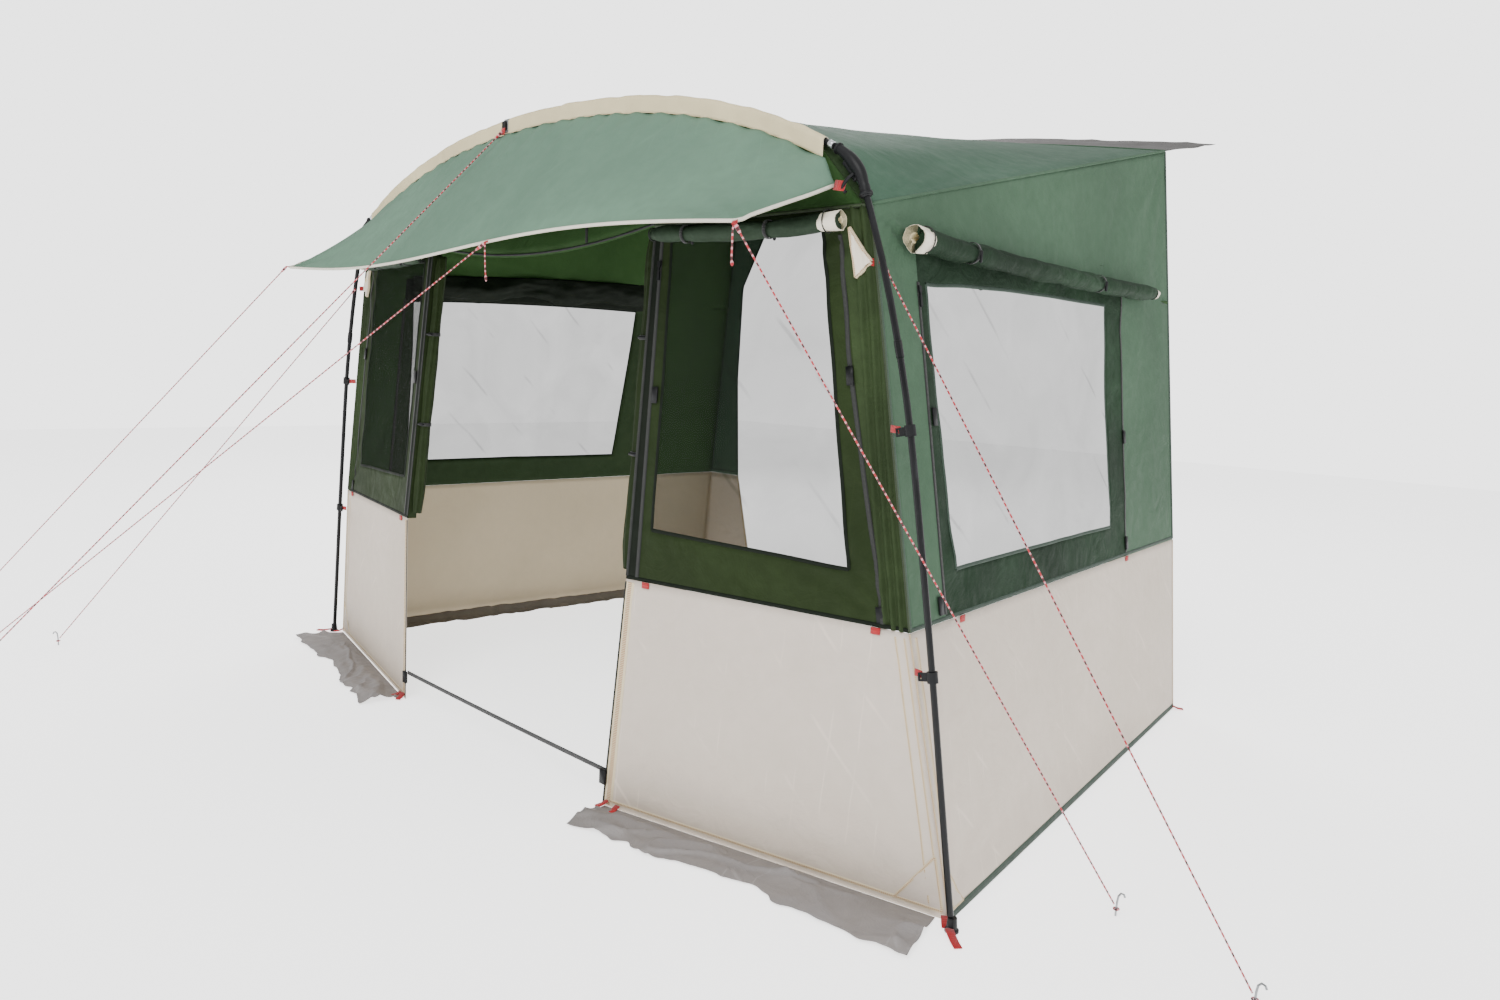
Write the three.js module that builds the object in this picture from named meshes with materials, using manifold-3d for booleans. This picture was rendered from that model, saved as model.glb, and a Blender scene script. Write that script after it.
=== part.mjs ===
// Screen house: arched awning shelter with mesh windows, an open front doorway and an open
// rear that joins a vehicle. Millimetres, +Z up, -Y is the front, +X is the right side.
import * as THREE from 'three';
import { mergeVertices } from 'three/addons/utils/BufferGeometryUtils.js';
import Module from 'manifold-3d';

const wasm = await Module();
wasm.setup();

// Driving dimensions
const FEET_Y = -951.6;         // line of the two pole feet
const FABRIC = 1.5;           // thickness of every fabric solid
const MESH = 1.2;             // thickness of the window mesh solids
const GAP = 0.3;              // clearance between touching pieces
const POLE_Y = -20;           // arch pole plane, from the feet line
const POLE_R = 8;
const ARCH_END_X = 1192;
const BAND_END_X = 1165;
const CROWN_Z = 2045;         // top of the cream band over the arch
const SEAM_Z = 669;           // seam between the beige skirt and the green walls
const REAR_CROWN_Z = 2300;
const REAR_EAVE_Z = 2146;
const REAR_X = 1138;
const REAR_Y = 2004;
const VISOR_Y = -346;
const VISOR_Z = 1575;
const VISOR_X = 1195;
const LIP_WAVE = 28;          // rise of the visor's lip on the right, and fall on the left
const HEM_SAG = 55;           // sag of the cloth's hem over the doorway
const STRAP_Z = 100;
const CORD_R = 2;

const COLORS = {
  black_steel: 0x16171a,
  black_plastic: 0x1b1c1e,
  sage_cloth: 0x8aa291,
  green_cloth: 0x5c7f67,
  olive_cloth: 0x38492a,
  beige_cloth: 0xcbc2b6,
  cream_cloth: 0xdfd6c8,
  grey_cloth: 0xa4a09e,
  mesh_cloth: 0x4a4f4b,
  black_webbing: 0x1a1a1c,
  red_cord: 0xc94a54,
  peg_steel: 0x8d9092,
};

const materials = {};
for (const [slot, color] of Object.entries(COLORS)) {
  materials[slot] = new THREE.MeshStandardMaterial({ name: slot, color });
}

const group = new THREE.Group();
group.name = 'screen_house';

const V = (x, y, z) => new THREE.Vector3(x, y, z);
const mirrored = (p, side) => V(p.x * side, p.y, p.z);
const SIDES = [['right', 1], ['left', -1]];

// Corner points of the right half, measured from the feet line
const JAMB = [V(588, -194, 0), V(630, -161, SEAM_Z), V(606, -69, 1641)];
const CORNER = [V(1616, 30, 0), V(1475, -2, SEAM_Z), V(1286, 6, 1656)];
const REAR = [V(1362, 2030, 0), V(1300, 2022, SEAM_Z), V(REAR_X, REAR_Y, REAR_EAVE_Z)];

function add(name, slot, geometry) {
  geometry.translate(0, FEET_Y, 0);
  const mesh = new THREE.Mesh(geometry, materials[slot]);
  mesh.name = name;
  group.add(mesh);
}

// Closed solid from a triangle list; every triangle faces out
function solid(points, triangles) {
  const geometry = new THREE.BufferGeometry();
  const flat = points.flatMap((p) => [p.x, p.y, p.z]);
  geometry.setAttribute('position', new THREE.Float32BufferAttribute(flat, 3));
  geometry.setIndex(triangles.flat());
  return geometry;
}

// Fabric panel: surface(u, v) is the outer face and the cloth's thickness goes inward.
// Cells named by open(i, j) are left out, which makes a window.
function panel(surface, us, vs, thickness, open = () => false) {
  const outer = [];
  const inner = [];
  const step = 1e-3;
  for (const v of vs) {
    for (const u of us) {
      const p = surface(u, v);
      const du = surface(u + step, v).sub(surface(u - step, v));
      const dv = surface(u, v + step).sub(surface(u, v - step));
      const normal = du.cross(dv).normalize();
      outer.push(p);
      inner.push(p.clone().addScaledVector(normal, -thickness));
    }
  }
  const nu = us.length;
  const count = outer.length;
  const inside = (i, j) => i >= 0 && j >= 0 && i < nu - 1 && j < vs.length - 1 && !open(i, j);
  const triangles = [];
  const wall = (a, b) => triangles.push([a, a + count, b + count], [a, b + count, b]);
  for (let j = 0; j < vs.length - 1; j++) {
    for (let i = 0; i < nu - 1; i++) {
      if (!inside(i, j)) continue;
      const a = j * nu + i;
      const b = a + 1;
      const c = a + nu + 1;
      const d = a + nu;
      triangles.push([a, b, c], [a, c, d]);
      triangles.push([a + count, c + count, b + count], [a + count, d + count, c + count]);
      if (!inside(i, j - 1)) wall(a, b);
      if (!inside(i + 1, j)) wall(b, c);
      if (!inside(i, j + 1)) wall(c, d);
      if (!inside(i - 1, j)) wall(d, a);
    }
  }
  return solid([...outer, ...inner], triangles);
}

// Four-cornered surface, counter-clockwise seen from outside, mirrored for the left side
function quad(a, b, c, d, side) {
  const [p, q, r, s] = [a, b, c, d].map((point) => mirrored(point, side));
  return (u, v) => {
    const low = p.clone().lerp(q, u);
    return low.lerp(s.clone().lerp(r, u), v);
  };
}

// A mirrored surface is walked backwards so that its outer face still faces out
function facing(surface, side) {
  return side > 0 ? surface : (u, v) => surface(1 - u, v);
}

function steps(from, to, count) {
  return Array.from({ length: count + 1 }, (_, k) => from + ((to - from) * k) / count);
}

// Round or oval bar along stations {at, rx, ry}, closed with flat ends
function bar(stations, sides, across = V(1, 0, 0)) {
  const points = [];
  const triangles = [];
  stations.forEach(({ at, rx, ry = rx }, k) => {
    const before = stations[Math.max(k - 1, 0)].at;
    const after = stations[Math.min(k + 1, stations.length - 1)].at;
    const along = after.clone().sub(before).normalize();
    const x = across.clone().addScaledVector(along, -across.dot(along)).normalize();
    const y = along.clone().cross(x);
    for (let s = 0; s < sides; s++) {
      const angle = (2 * Math.PI * s) / sides;
      const p = at.clone().addScaledVector(x, rx * Math.cos(angle));
      points.push(p.addScaledVector(y, ry * Math.sin(angle)));
    }
  });
  for (let k = 0; k < stations.length - 1; k++) {
    for (let s = 0; s < sides; s++) {
      const a = k * sides + s;
      const b = k * sides + ((s + 1) % sides);
      triangles.push([a, b, b + sides], [a, b + sides, a + sides]);
    }
  }
  const last = (stations.length - 1) * sides;
  for (let s = 1; s < sides - 1; s++) {
    triangles.push([0, s + 1, s], [last, last + s, last + s + 1]);
  }
  return solid(points, triangles);
}

function toManifold(geometry) {
  const clean = geometry.clone();
  clean.deleteAttribute('normal');
  clean.deleteAttribute('uv');
  const merged = mergeVertices(clean);
  return new wasm.Manifold(new wasm.Mesh({
    numProp: 3,
    vertProperties: new Float32Array(merged.attributes.position.array),
    triVerts: new Uint32Array(merged.index.array),
  }));
}

function fromManifold(manifold) {
  const mesh = manifold.getMesh();
  const geometry = new THREE.BufferGeometry();
  geometry.setAttribute('position', new THREE.BufferAttribute(mesh.vertProperties, 3));
  geometry.setIndex(new THREE.BufferAttribute(mesh.triVerts, 1));
  return geometry;
}

// ---- Frame -------------------------------------------------------------------------------

const archZ = (x) => CROWN_Z - 126.3 * (x / 1000) ** 2 - 30.4 * (x / 1000) ** 4;
const archPole = (x) => V(x, POLE_Y, archZ(x) - 12);
const LEG = [[1640, 0], [1594, 290], [1548, 583], [1501, 860], [1450, 1140], [1412, 1303],
  [1355, 1500], [1292, 1675]];
const legCurve = new THREE.CatmullRomCurve3(LEG.map(([x, z]) => V(x, (POLE_Y * z) / 1675, z)));

function legAt(z) {
  let low = 0;
  let high = 1;
  for (let k = 0; k < 40; k++) {
    const mid = (low + high) / 2;
    if (legCurve.getPoint(mid).z < z) low = mid;
    else high = mid;
  }
  return legCurve.getPoint(low);
}

const archStations = steps(-ARCH_END_X, ARCH_END_X, 28).map((x) => ({ at: archPole(x), rx: POLE_R }));
add('arch_pole', 'black_steel', bar(archStations, 12, V(0, 1, 0)));

const FOOT_TOP = 34;
const JOINT_Z = 1303;
const ELBOW_Z = 1672;
for (const [label, side] of SIDES) {
  const leg = (from, to, count) => steps(from, to, count).map((z) => ({
    at: mirrored(legAt(z), side),
    rx: POLE_R,
  }));
  add(`leg_lower_${label}`, 'black_steel', bar(leg(FOOT_TOP + 2, JOINT_Z - 0.6, 14), 12));
  const upper = [JOINT_Z + GAP, JOINT_Z + 38, JOINT_Z + 38.5, 1430, 1520, 1600, ELBOW_Z];
  const upperStations = upper.map((z, k) => ({
    at: mirrored(legAt(z), side),
    rx: k < 2 ? POLE_R + 1.5 : POLE_R,
  }));
  add(`leg_upper_${label}`, 'black_steel', bar(upperStations, 12));

  const legEnd = legAt(ELBOW_Z);
  const legWay = legEnd.clone().sub(legAt(ELBOW_Z - 10)).normalize();
  const poleEnd = archPole(ARCH_END_X);
  const poleWay = poleEnd.clone().sub(archPole(ARCH_END_X - 10)).normalize();
  const bend = new THREE.CatmullRomCurve3([
    legEnd.clone().addScaledVector(legWay, 0.5),
    legEnd.clone().addScaledVector(legWay, 18),
    V(1258, POLE_Y, 1737),
    poleEnd.clone().addScaledVector(poleWay, 18),
    poleEnd.clone().addScaledVector(poleWay, 0.5),
  ].map((p) => mirrored(p, side)));
  const radii = [14, 14, 12, 12, 12, 12, 12, 12, 12, 14, 14];
  const elbow = radii.map((rx, k) => ({ at: bend.getPoint(k / (radii.length - 1)), rx }));
  add(`elbow_${label}`, 'black_plastic', bar(elbow, 16, V(0, 1, 0)));

  const base = mirrored(legAt(0), side);
  const foot = [[0, 17], [5, 17], [9, 13], [FOOT_TOP, 11]].map(([z, rx]) => ({
    at: V(base.x, base.y, z),
    rx,
  }));
  add(`foot_${label}`, 'black_plastic', bar(foot, 16));
}

// Hook that snaps round a leg and takes the wall's webbing tab
function legClip(z, side) {
  const at = legAt(z);
  const along = legAt(z + 20).sub(legAt(z - 20)).normalize();
  const outer = new THREE.CylinderGeometry(13, 13, 26, 20);
  const hole = new THREE.CylinderGeometry(POLE_R + 0.5, POLE_R + 0.5, 40, 20);
  const arm = new THREE.BoxGeometry(26, 20, 7);
  arm.translate(-22, 0, 0);
  const slot = new THREE.BoxGeometry(5, 12, 10);
  slot.translate(-29, 0, 0);
  const body = toManifold(outer).add(toManifold(arm));
  const clip = fromManifold(body.subtract(toManifold(hole)).subtract(toManifold(slot)));
  const turn = new THREE.Quaternion().setFromUnitVectors(V(0, 1, 0), along);
  clip.applyQuaternion(turn);
  clip.translate(at.x, at.y, at.z);
  if (side < 0) {
    clip.scale(-1, 1, 1);
    clip.setIndex(Array.from(clip.index.array).reverse());
  }
  return clip;
}

for (const [label, side] of SIDES) {
  add(`pole_clip_upper_${label}`, 'black_plastic', legClip(1140, side));
  add(`pole_clip_lower_${label}`, 'black_plastic', legClip(583, side));
}

// ---- Roof, arch band and visor --------------------------------------------------------------

const BAND = [[-12, -50], [-12, -8], [-6, -1], [0, 0], [6, -2], [11, -10], [21.6, -22]];
const bandSurface = (u, v) => {
  const at = Math.min(Math.max(v, 0), 1) * (BAND.length - 1);
  const k = Math.min(Math.floor(at), BAND.length - 2);
  const [y0, z0] = BAND[k];
  const [y1, z1] = BAND[k + 1];
  const x = u * BAND_END_X;
  const t = at - k;
  return V(x, POLE_Y + y0 + (y1 - y0) * t, archZ(x) + z0 + (z1 - z0) * t);
};
const bandRows = steps(0, 1, BAND.length - 1);
add('arch_band', 'cream_cloth', panel(bandSurface, steps(-1, 1, 28), bandRows, FABRIC));

const clipBlock = new THREE.BoxGeometry(20, 9, 26);
clipBlock.translate(-200, POLE_Y - 12 - GAP - 4.5, archZ(-200) - 22);
add('arch_clip', 'black_plastic', clipBlock);

const frontEdge = new THREE.CatmullRomCurve3([
  ...[0, 300, 600, 900, 1150].map((x) => V(x, 2, archZ(x) - 22)),
  V(1232, 3, 1722),
  V(CORNER[2].x, CORNER[2].y - 2, CORNER[2].z),
]);
const rearZ = (x) => REAR_CROWN_Z - (REAR_CROWN_Z - REAR_EAVE_Z) * (Math.abs(x) / REAR_X) ** 1.3;
const roofFront = (u) => {
  const p = frontEdge.getPoint(Math.min(Math.abs(u), 1));
  return V(Math.sign(u) * p.x, p.y, p.z);
};
const roofRear = (u) => V(u * REAR_X, REAR_Y, rearZ(u * REAR_X));
const roofSurface = (u, v) => {
  const p = roofFront(u).lerp(roofRear(u), v);
  p.z -= 46 * v * (1 - v) * (1 - u * u);
  return p;
};
add('roof', 'green_cloth', panel(roofSurface, steps(-0.9995, 0.9995, 24), steps(0.0005, 0.999, 12), FABRIC));

// Past the end of the band the visor's top edge comes down to its tab under the elbow
const visorTop = (u) => {
  const x = Math.sign(u) * Math.min(Math.abs(u) / 0.95, 1) * (BAND_END_X + 8);
  const past = Math.max(Math.abs(u) - 0.95, 0) / 0.05;
  return V(x, POLE_Y - 13, archZ(x) - 50).lerp(V(Math.sign(u) * 1213, -36, 1700), past);
};
const visorSurface = (u, v) => {
  const wave = LIP_WAVE * Math.sin((Math.PI * u * VISOR_X) / 1250);
  const p = visorTop(u).lerp(V(u * VISOR_X, VISOR_Y, VISOR_Z + wave), v);
  p.z += 60 * v * (1 - v) * (1 - u * u);
  return p;
};
const visorRows = steps(0, 1, 6).map((v) => 1 - v);
add('visor', 'sage_cloth', panel(visorSurface, steps(-1, 1, 40), visorRows.reverse(), FABRIC));

// ---- Walls ------------------------------------------------------------------------------------

// Window corners as fractions of the wall: bottom and top at the front or jamb end, then the far end
const SIDE_WINDOW = [[0.122, 0.112], [0.107, 0.79], [0.664, 0.088], [0.69, 0.645]];
const FRONT_WINDOW = [[0.098, 0.15], [0.093, 0.955], [0.824, 0.128], [0.8, 0.955]];

// Walk a wall in window steps: 0 to 1 is the frame, 1 to 2 the window, 2 to 3 the frame again
function windowed(surface, [nearLow, nearTop, farLow, farTop], { u0, u1, v0, v1 }) {
  const table = [
    [[u0, v0], [nearLow[0], v0], [farLow[0], v0], [u1, v0]],
    [[u0, nearLow[1]], nearLow, farLow, [u1, farLow[1]]],
    [[u0, nearTop[1]], nearTop, farTop, [u1, farTop[1]]],
    [[u0, v1], [nearTop[0], v1], [farTop[0], v1], [u1, v1]],
  ];
  return (a, b) => {
    const i = Math.min(Math.max(Math.floor(a), 0), 2);
    const j = Math.min(Math.max(Math.floor(b), 0), 2);
    const mix = (k) => {
      const low = table[j][i][k] + (table[j][i + 1][k] - table[j][i][k]) * (a - i);
      const high = table[j + 1][i][k] + (table[j + 1][i + 1][k] - table[j + 1][i][k]) * (a - i);
      return low + (high - low) * (b - j);
    };
    return surface(mix(0), mix(1));
  };
}

function windowWall(name, label, side, wall, corners, edge, slot) {
  const right = windowed(wall, corners, edge);
  const surface = side > 0 ? right : (a, b) => right(3 - a, b);
  const lines = [0, ...steps(1, 2, 3), 3];
  const frame = panel(surface, lines, lines, FABRIC,
    (i, j) => i > 0 && i < 4 && j > 0 && j < 4);
  add(`${name}_wall_${label}`, slot, frame);
  const span = surface(1, 1).distanceTo(surface(2, 1));
  const rise = surface(1, 1).distanceTo(surface(1, 2));
  const us = steps(1 + GAP / span, 2 - GAP / span, 3);
  const vs = steps(1 + GAP / rise, 2 - GAP / rise, 3);
  add(`${name}_mesh_${label}`, 'mesh_cloth', panel(surface, us, vs, MESH));
}

for (const [label, side] of SIDES) {
  const sideUpper = quad(CORNER[1], REAR[1], REAR[2], CORNER[2], side);
  const sideEdge = { u0: 0.0013, u1: 0.9997, v0: 0.0003, v1: 0.9972 };
  windowWall('side', label, side, sideUpper, SIDE_WINDOW, sideEdge, 'green_cloth');
  const sideLower = facing(quad(CORNER[0], REAR[0], REAR[1], CORNER[1], side), side);
  const sideSpan = side > 0 ? steps(0.0013, 0.9997, 4) : steps(0.0003, 0.9987, 4);
  add(`side_skirt_${label}`, 'beige_cloth',
    panel(sideLower, sideSpan, steps(0.0008, 0.9997, 2), FABRIC));

  const frontUpper = quad(JAMB[1], CORNER[1], CORNER[2], JAMB[2], side);
  const frontEdgeRange = { u0: 0, u1: 0.9994, v0: 0.0003, v1: 0.9997 };
  windowWall('front', label, side, frontUpper, FRONT_WINDOW, frontEdgeRange, 'olive_cloth');
  const frontLower = facing(quad(JAMB[0], CORNER[0], CORNER[1], JAMB[1], side), side);
  const frontSpan = side > 0 ? steps(0, 0.9994, 3) : steps(0.0006, 1, 3);
  add(`front_skirt_${label}`, 'beige_cloth',
    panel(frontLower, frontSpan, steps(0.0008, 0.9997, 2), FABRIC));
}

// Cloth between the door head and the arch pole
const headPath = (u) => {
  const x = Math.abs(u) * 1268;
  const side = Math.sign(u);
  if (x <= JAMB[2].x) {
    const sag = HEM_SAG * (1 - (x / JAMB[2].x) ** 2);
    return V(side * x, JAMB[2].y, JAMB[2].z - sag);
  }
  const t = (x - JAMB[2].x) / (CORNER[2].x - JAMB[2].x);
  const p = JAMB[2].clone().lerp(CORNER[2], t);
  return V(side * p.x, p.y, p.z);
};
const headerSurface = (u, v) => {
  const low = headPath(u);
  const x = u * 1140;
  return low.lerp(V(x, POLE_Y, archZ(x) - 25), v);
};
const headColumns = [...steps(-1, -JAMB[2].x / 1268, 4), ...steps(-0.4, 0.4, 6),
  ...steps(JAMB[2].x / 1268, 1, 4)];
add('front_header', 'olive_cloth', panel(headerSurface, headColumns, steps(0.0015, 1, 3), FABRIC));

// Rear wall strips each side of the vehicle opening
const RETURN = [[SEAM_Z + 0.4, 945], [1200, 1010], [1690, 1060], [1935, 950], [2080, 862]];
for (const [label, side] of SIDES) {
  const upperSurface = (u, v) => {
    const at = v * RETURN.length;
    const k = Math.min(Math.max(Math.floor(at), 0), RETURN.length - 1);
    const row = (n) => {
      const [z, inner] = n < RETURN.length ? RETURN[n] : [0, 862];
      const outer = REAR[1].clone().lerp(REAR[2], (z - SEAM_Z) / (REAR_EAVE_Z - SEAM_Z));
      const a = n < RETURN.length ? outer : V(REAR_X, REAR_Y, REAR_EAVE_Z - 3.2);
      const b = n < RETURN.length ? V(inner, outer.y, z) : V(inner, REAR_Y, rearZ(inner) - 3.2);
      a.x -= 2.3;
      return a.lerp(b, u);
    };
    const p = row(k).lerp(row(k + 1), at - k);
    return V(side * p.x, p.y - 0.4, p.z);
  };
  add(`rear_wall_${label}`, 'green_cloth',
    panel(side > 0 ? upperSurface : (u, v) => upperSurface(1 - u, v), steps(0, 1, 2),
      steps(0, 1, RETURN.length), FABRIC));
  const lowerSurface = (u, v) => {
    const outer = REAR[0].clone().lerp(REAR[1], v);
    outer.x -= 2.3;
    const p = outer.lerp(V(930 + 15 * v, outer.y, outer.z), u);
    return V(side * p.x, p.y - 0.4, p.z);
  };
  add(`rear_skirt_${label}`, 'beige_cloth',
    panel(side > 0 ? lowerSurface : (u, v) => lowerSurface(1 - u, v), steps(0, 1, 2),
      steps(0.0008, 0.9995, 2), FABRIC));
}
const rearHeader = (u, v) => {
  const x = -u * (862 - GAP);
  return V(x, REAR_Y - 0.4, 2080 + (rearZ(x) - 3.2 - 2080) * v);
};
add('rear_header', 'green_cloth', panel(rearHeader, steps(-1, 1, 12), steps(0, 1, 1), FABRIC));

const stripSurface = (u, v) => {
  const near = V(u * REAR_X, REAR_Y + 0.4, rearZ(u * REAR_X) + 0.5);
  return near.lerp(V(u * 1232, 2250, rearZ(u * REAR_X) + 62), v);
};
add('rear_strip', 'grey_cloth', panel(stripSurface, steps(-1, 1, 16), steps(0, 1, 3), FABRIC));

// ---- Rolled blinds, door rolls, strap and mud flaps ----------------------------------------

for (const [label, side] of SIDES) {
  const roll = (a, b, ra, rb, count) => steps(0, 1, count).map((t) => ({
    at: mirrored(a.clone().lerp(b, t), side),
    rx: ra + (rb - ra) * t,
  }));
  const sideRoll = roll(V(1336, 120, 1590), V(1252, 1800, 1588), 34, 34, 10);
  sideRoll[9].rx = 30;
  sideRoll[10].rx = 18;
  add(`side_blind_${label}`, 'olive_cloth', bar(sideRoll, 14, V(1, 0, 0)));
  const frontRoll = roll(V(640, -105, 1612), V(1236, -38, 1618), 24, 26, 6);
  add(`front_blind_${label}`, 'olive_cloth', bar(frontRoll, 14, V(0, 1, 0)));
  const doorRoll = [[690, 38, 16], [760, 46, 20], [1000, 34, 17], [1200, 44, 20], [1400, 36, 17],
    [1560, 46, 20], [1615, 40, 16]].map(([z, rx, ry]) => {
    const jamb = JAMB[1].clone().lerp(JAMB[2], (z - SEAM_Z) / (JAMB[2].z - SEAM_Z));
    return { at: V(side * (jamb.x - 34), jamb.y + 28, z), rx, ry };
  });
  add(`door_roll_${label}`, 'olive_cloth', bar(doorRoll, 14, V(1, 0, 0)));
}

const strapX = JAMB[0].x + 5;
const strap = new THREE.BoxGeometry(2 * strapX - 2, 1.6, 20);
strap.translate(0, -183, STRAP_Z);
add('threshold_strap', 'black_webbing', strap);

// Grey flap that lies on the ground in front of each front skirt
for (const [label, side] of SIDES) {
  const near = [V(600, -194.2, 2), V(1585, 20.7, 2)];
  const far = [V(628, -344, 2), V(860, -296, 2), V(1040, -244, 2), V(1310, -206, 2), V(1640, -172, 2)];
  const flap = (u, v) => {
    const at = Math.min(Math.max(u, 0), 1) * (far.length - 1);
    const k = Math.min(Math.floor(at), far.length - 2);
    const out = far[k].clone().lerp(far[k + 1], at - k);
    const p = out.lerp(near[0].clone().lerp(near[1], u), v);
    return V(side * p.x, p.y, p.z);
  };
  const surface = side > 0 ? flap : (u, v) => flap(1 - u, v);
  add(`mud_flap_${label}`, 'grey_cloth', panel(surface, steps(0.002, 0.998, 8), steps(0, 1, 2), FABRIC));
}

// ---- Zip sliders ----------------------------------------------------------------------------

// Slider with its hanging pull, lying on a wall; the frame is along, across and out
function slider(at, along, out) {
  const outline = new THREE.Shape();
  const half = [[-6, 0], [-6, 14], [-2.5, 18], [-2.5, 24], [-4, 26], [-4, 52]];
  const left = half.map(([x, y]) => new THREE.Vector2(x, -y));
  const right = half.map(([x, y]) => new THREE.Vector2(-x, -y)).reverse();
  outline.setFromPoints([...left, ...right]);
  const geometry = new THREE.ExtrudeGeometry(outline, { depth: 4, bevelEnabled: false });
  const up = along.clone().negate();
  const across = up.clone().cross(out).normalize();
  const basis = new THREE.Matrix4().makeBasis(across, up, out.clone());
  geometry.applyMatrix4(basis);
  geometry.translate(at.x, at.y, at.z);
  return geometry;
}

function slideOn(surface, u, v0, v1, lift) {
  const top = surface(u, v0);
  const along = surface(u, v1).sub(top).normalize();
  const du = surface(u + 0.01, v0).sub(top);
  const out = du.cross(along.clone().negate()).normalize();
  const across = along.clone().cross(out);
  out.copy(across.cross(along)).normalize();
  return slider(top.addScaledVector(out, lift), along, out);
}

for (const [label, side] of SIDES) {
  const wall = facing(quad(CORNER[1], REAR[1], REAR[2], CORNER[2], side), side);
  const u = side > 0 ? 0.088 : 0.912;
  add(`side_zip_slider_${label}`, 'black_plastic', slideOn(wall, u, 0.79, 0.05, 3));
}
const doorWall = quad(JAMB[1], CORNER[1], CORNER[2], JAMB[2], 1);
add('door_zip_slider', 'black_plastic', slideOn(doorWall, 0.045, 0.9, 0.03, 3));

// ---- Guy lines and pegs ---------------------------------------------------------------------

const GUYS = {
  arch: { from: V(-200, -44, 2000), to: V(-1050, -1590, 30) },
  visor_left: { from: V(-1198, -352, 1574), to: V(-2450, -1300, 30) },
  visor_middle: { from: V(205, -352, 1587), to: V(-1717, -1398, 30) },
  visor_right: { from: V(1199, -352, 1573), to: V(1868, 350, 30) },
  side_left: { from: V(-1310, -34, 1520), to: V(-2093, -957, 30) },
  side_right: { from: V(1316, 30, 1520), to: V(2218, 226, 30) },
};
for (const [label, { from, to }] of Object.entries(GUYS)) {
  const line = new THREE.LineCurve3(from, to);
  const section = new THREE.Shape();
  section.absarc(0, 0, CORD_R, 0, 2 * Math.PI, false);
  const cord = new THREE.ExtrudeGeometry(section, {
    steps: 10,
    curveSegments: 4,
    extrudePath: line,
    bevelEnabled: false,
  });
  add(`guy_line_${label}`, 'red_cord', cord);

  const away = to.clone().sub(from).setZ(0).normalize();
  const shaft = (distance, z) => V(to.x, to.y, z).addScaledVector(away, distance);
  const peg = [shaft(6, 0), shaft(6, 12), shaft(7, 36), shaft(9, 50), shaft(15, 57), shaft(22, 54),
    shaft(25, 47)].map((at) => ({ at, rx: 2.6 }));
  add(`peg_${label}`, 'peg_steel', bar(peg, 8, V(away.y, -away.x, 0)));
}

export default group;
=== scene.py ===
from math import cos, pi, sin

import bpy
import numpy as np
from mathutils import Matrix, Vector


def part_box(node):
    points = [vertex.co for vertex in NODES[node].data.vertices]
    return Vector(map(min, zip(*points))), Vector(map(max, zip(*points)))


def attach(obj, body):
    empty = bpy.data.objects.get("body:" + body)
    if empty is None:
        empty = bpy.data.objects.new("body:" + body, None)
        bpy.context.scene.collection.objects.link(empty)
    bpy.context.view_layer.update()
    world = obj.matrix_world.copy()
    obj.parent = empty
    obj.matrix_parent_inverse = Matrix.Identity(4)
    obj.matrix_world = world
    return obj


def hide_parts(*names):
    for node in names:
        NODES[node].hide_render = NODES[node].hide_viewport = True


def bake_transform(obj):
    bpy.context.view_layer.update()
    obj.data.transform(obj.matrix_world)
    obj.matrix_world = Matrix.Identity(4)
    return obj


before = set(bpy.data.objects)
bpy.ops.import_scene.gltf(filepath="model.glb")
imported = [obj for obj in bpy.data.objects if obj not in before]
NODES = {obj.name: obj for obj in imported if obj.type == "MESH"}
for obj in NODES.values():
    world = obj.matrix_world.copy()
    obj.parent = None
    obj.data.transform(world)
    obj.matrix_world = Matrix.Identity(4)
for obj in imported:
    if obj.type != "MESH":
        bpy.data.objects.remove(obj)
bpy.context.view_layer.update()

SIDES = (("right", 1), ("left", -1))
foot_low, foot_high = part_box("foot_right")
FEET_Y = (foot_low.y + foot_high.y) / 2


def at(x, y, z):
    """A point given in millimetres from the line of the pole feet, in metres of the frame."""
    return np.array([x / 1000, y / 1000 + FEET_Y, z / 1000])


def row(*values):
    """Plain array of the given numbers or points."""
    return np.array(values, float)


def mirror(side):
    """Factor that puts a point of the right side on the given side."""
    return row(side, 1, 1)


def mix(a, b, share):
    """Straight blend from a to b, with a share of its own for each point."""
    share = np.asarray(share)[..., None]
    return a * (1 - share) + b * share


def stack(*parts):
    return np.stack(np.broadcast_arrays(*parts), axis=-1)


def span(start, end, count):
    return np.linspace(start, end, count + 1)


def net(columns, rows, u=(0, 1), v=(0, 1)):
    """Grids of u and v over a surface."""
    return np.meshgrid(span(*u, columns), span(*v, rows))


def hoop(middle, a, b, count=28):
    """Closed ring round a point, with its radii along the directions a and b."""
    turn = span(0, 2 * pi, count)[:, None]
    return middle + a * np.cos(turn) + b * np.sin(turn)


def add_object(name, data):
    thing = bpy.data.objects.new(name, data)
    bpy.context.scene.collection.objects.link(thing)
    return thing


def middle_of(name):
    """Lowest and highest corner and middle of a node's box."""
    low, high = (np.array(p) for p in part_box(name))
    return low, high, (low + high) / 2


# ---- Camera -----------------------------------------------------------------------------------


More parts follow.
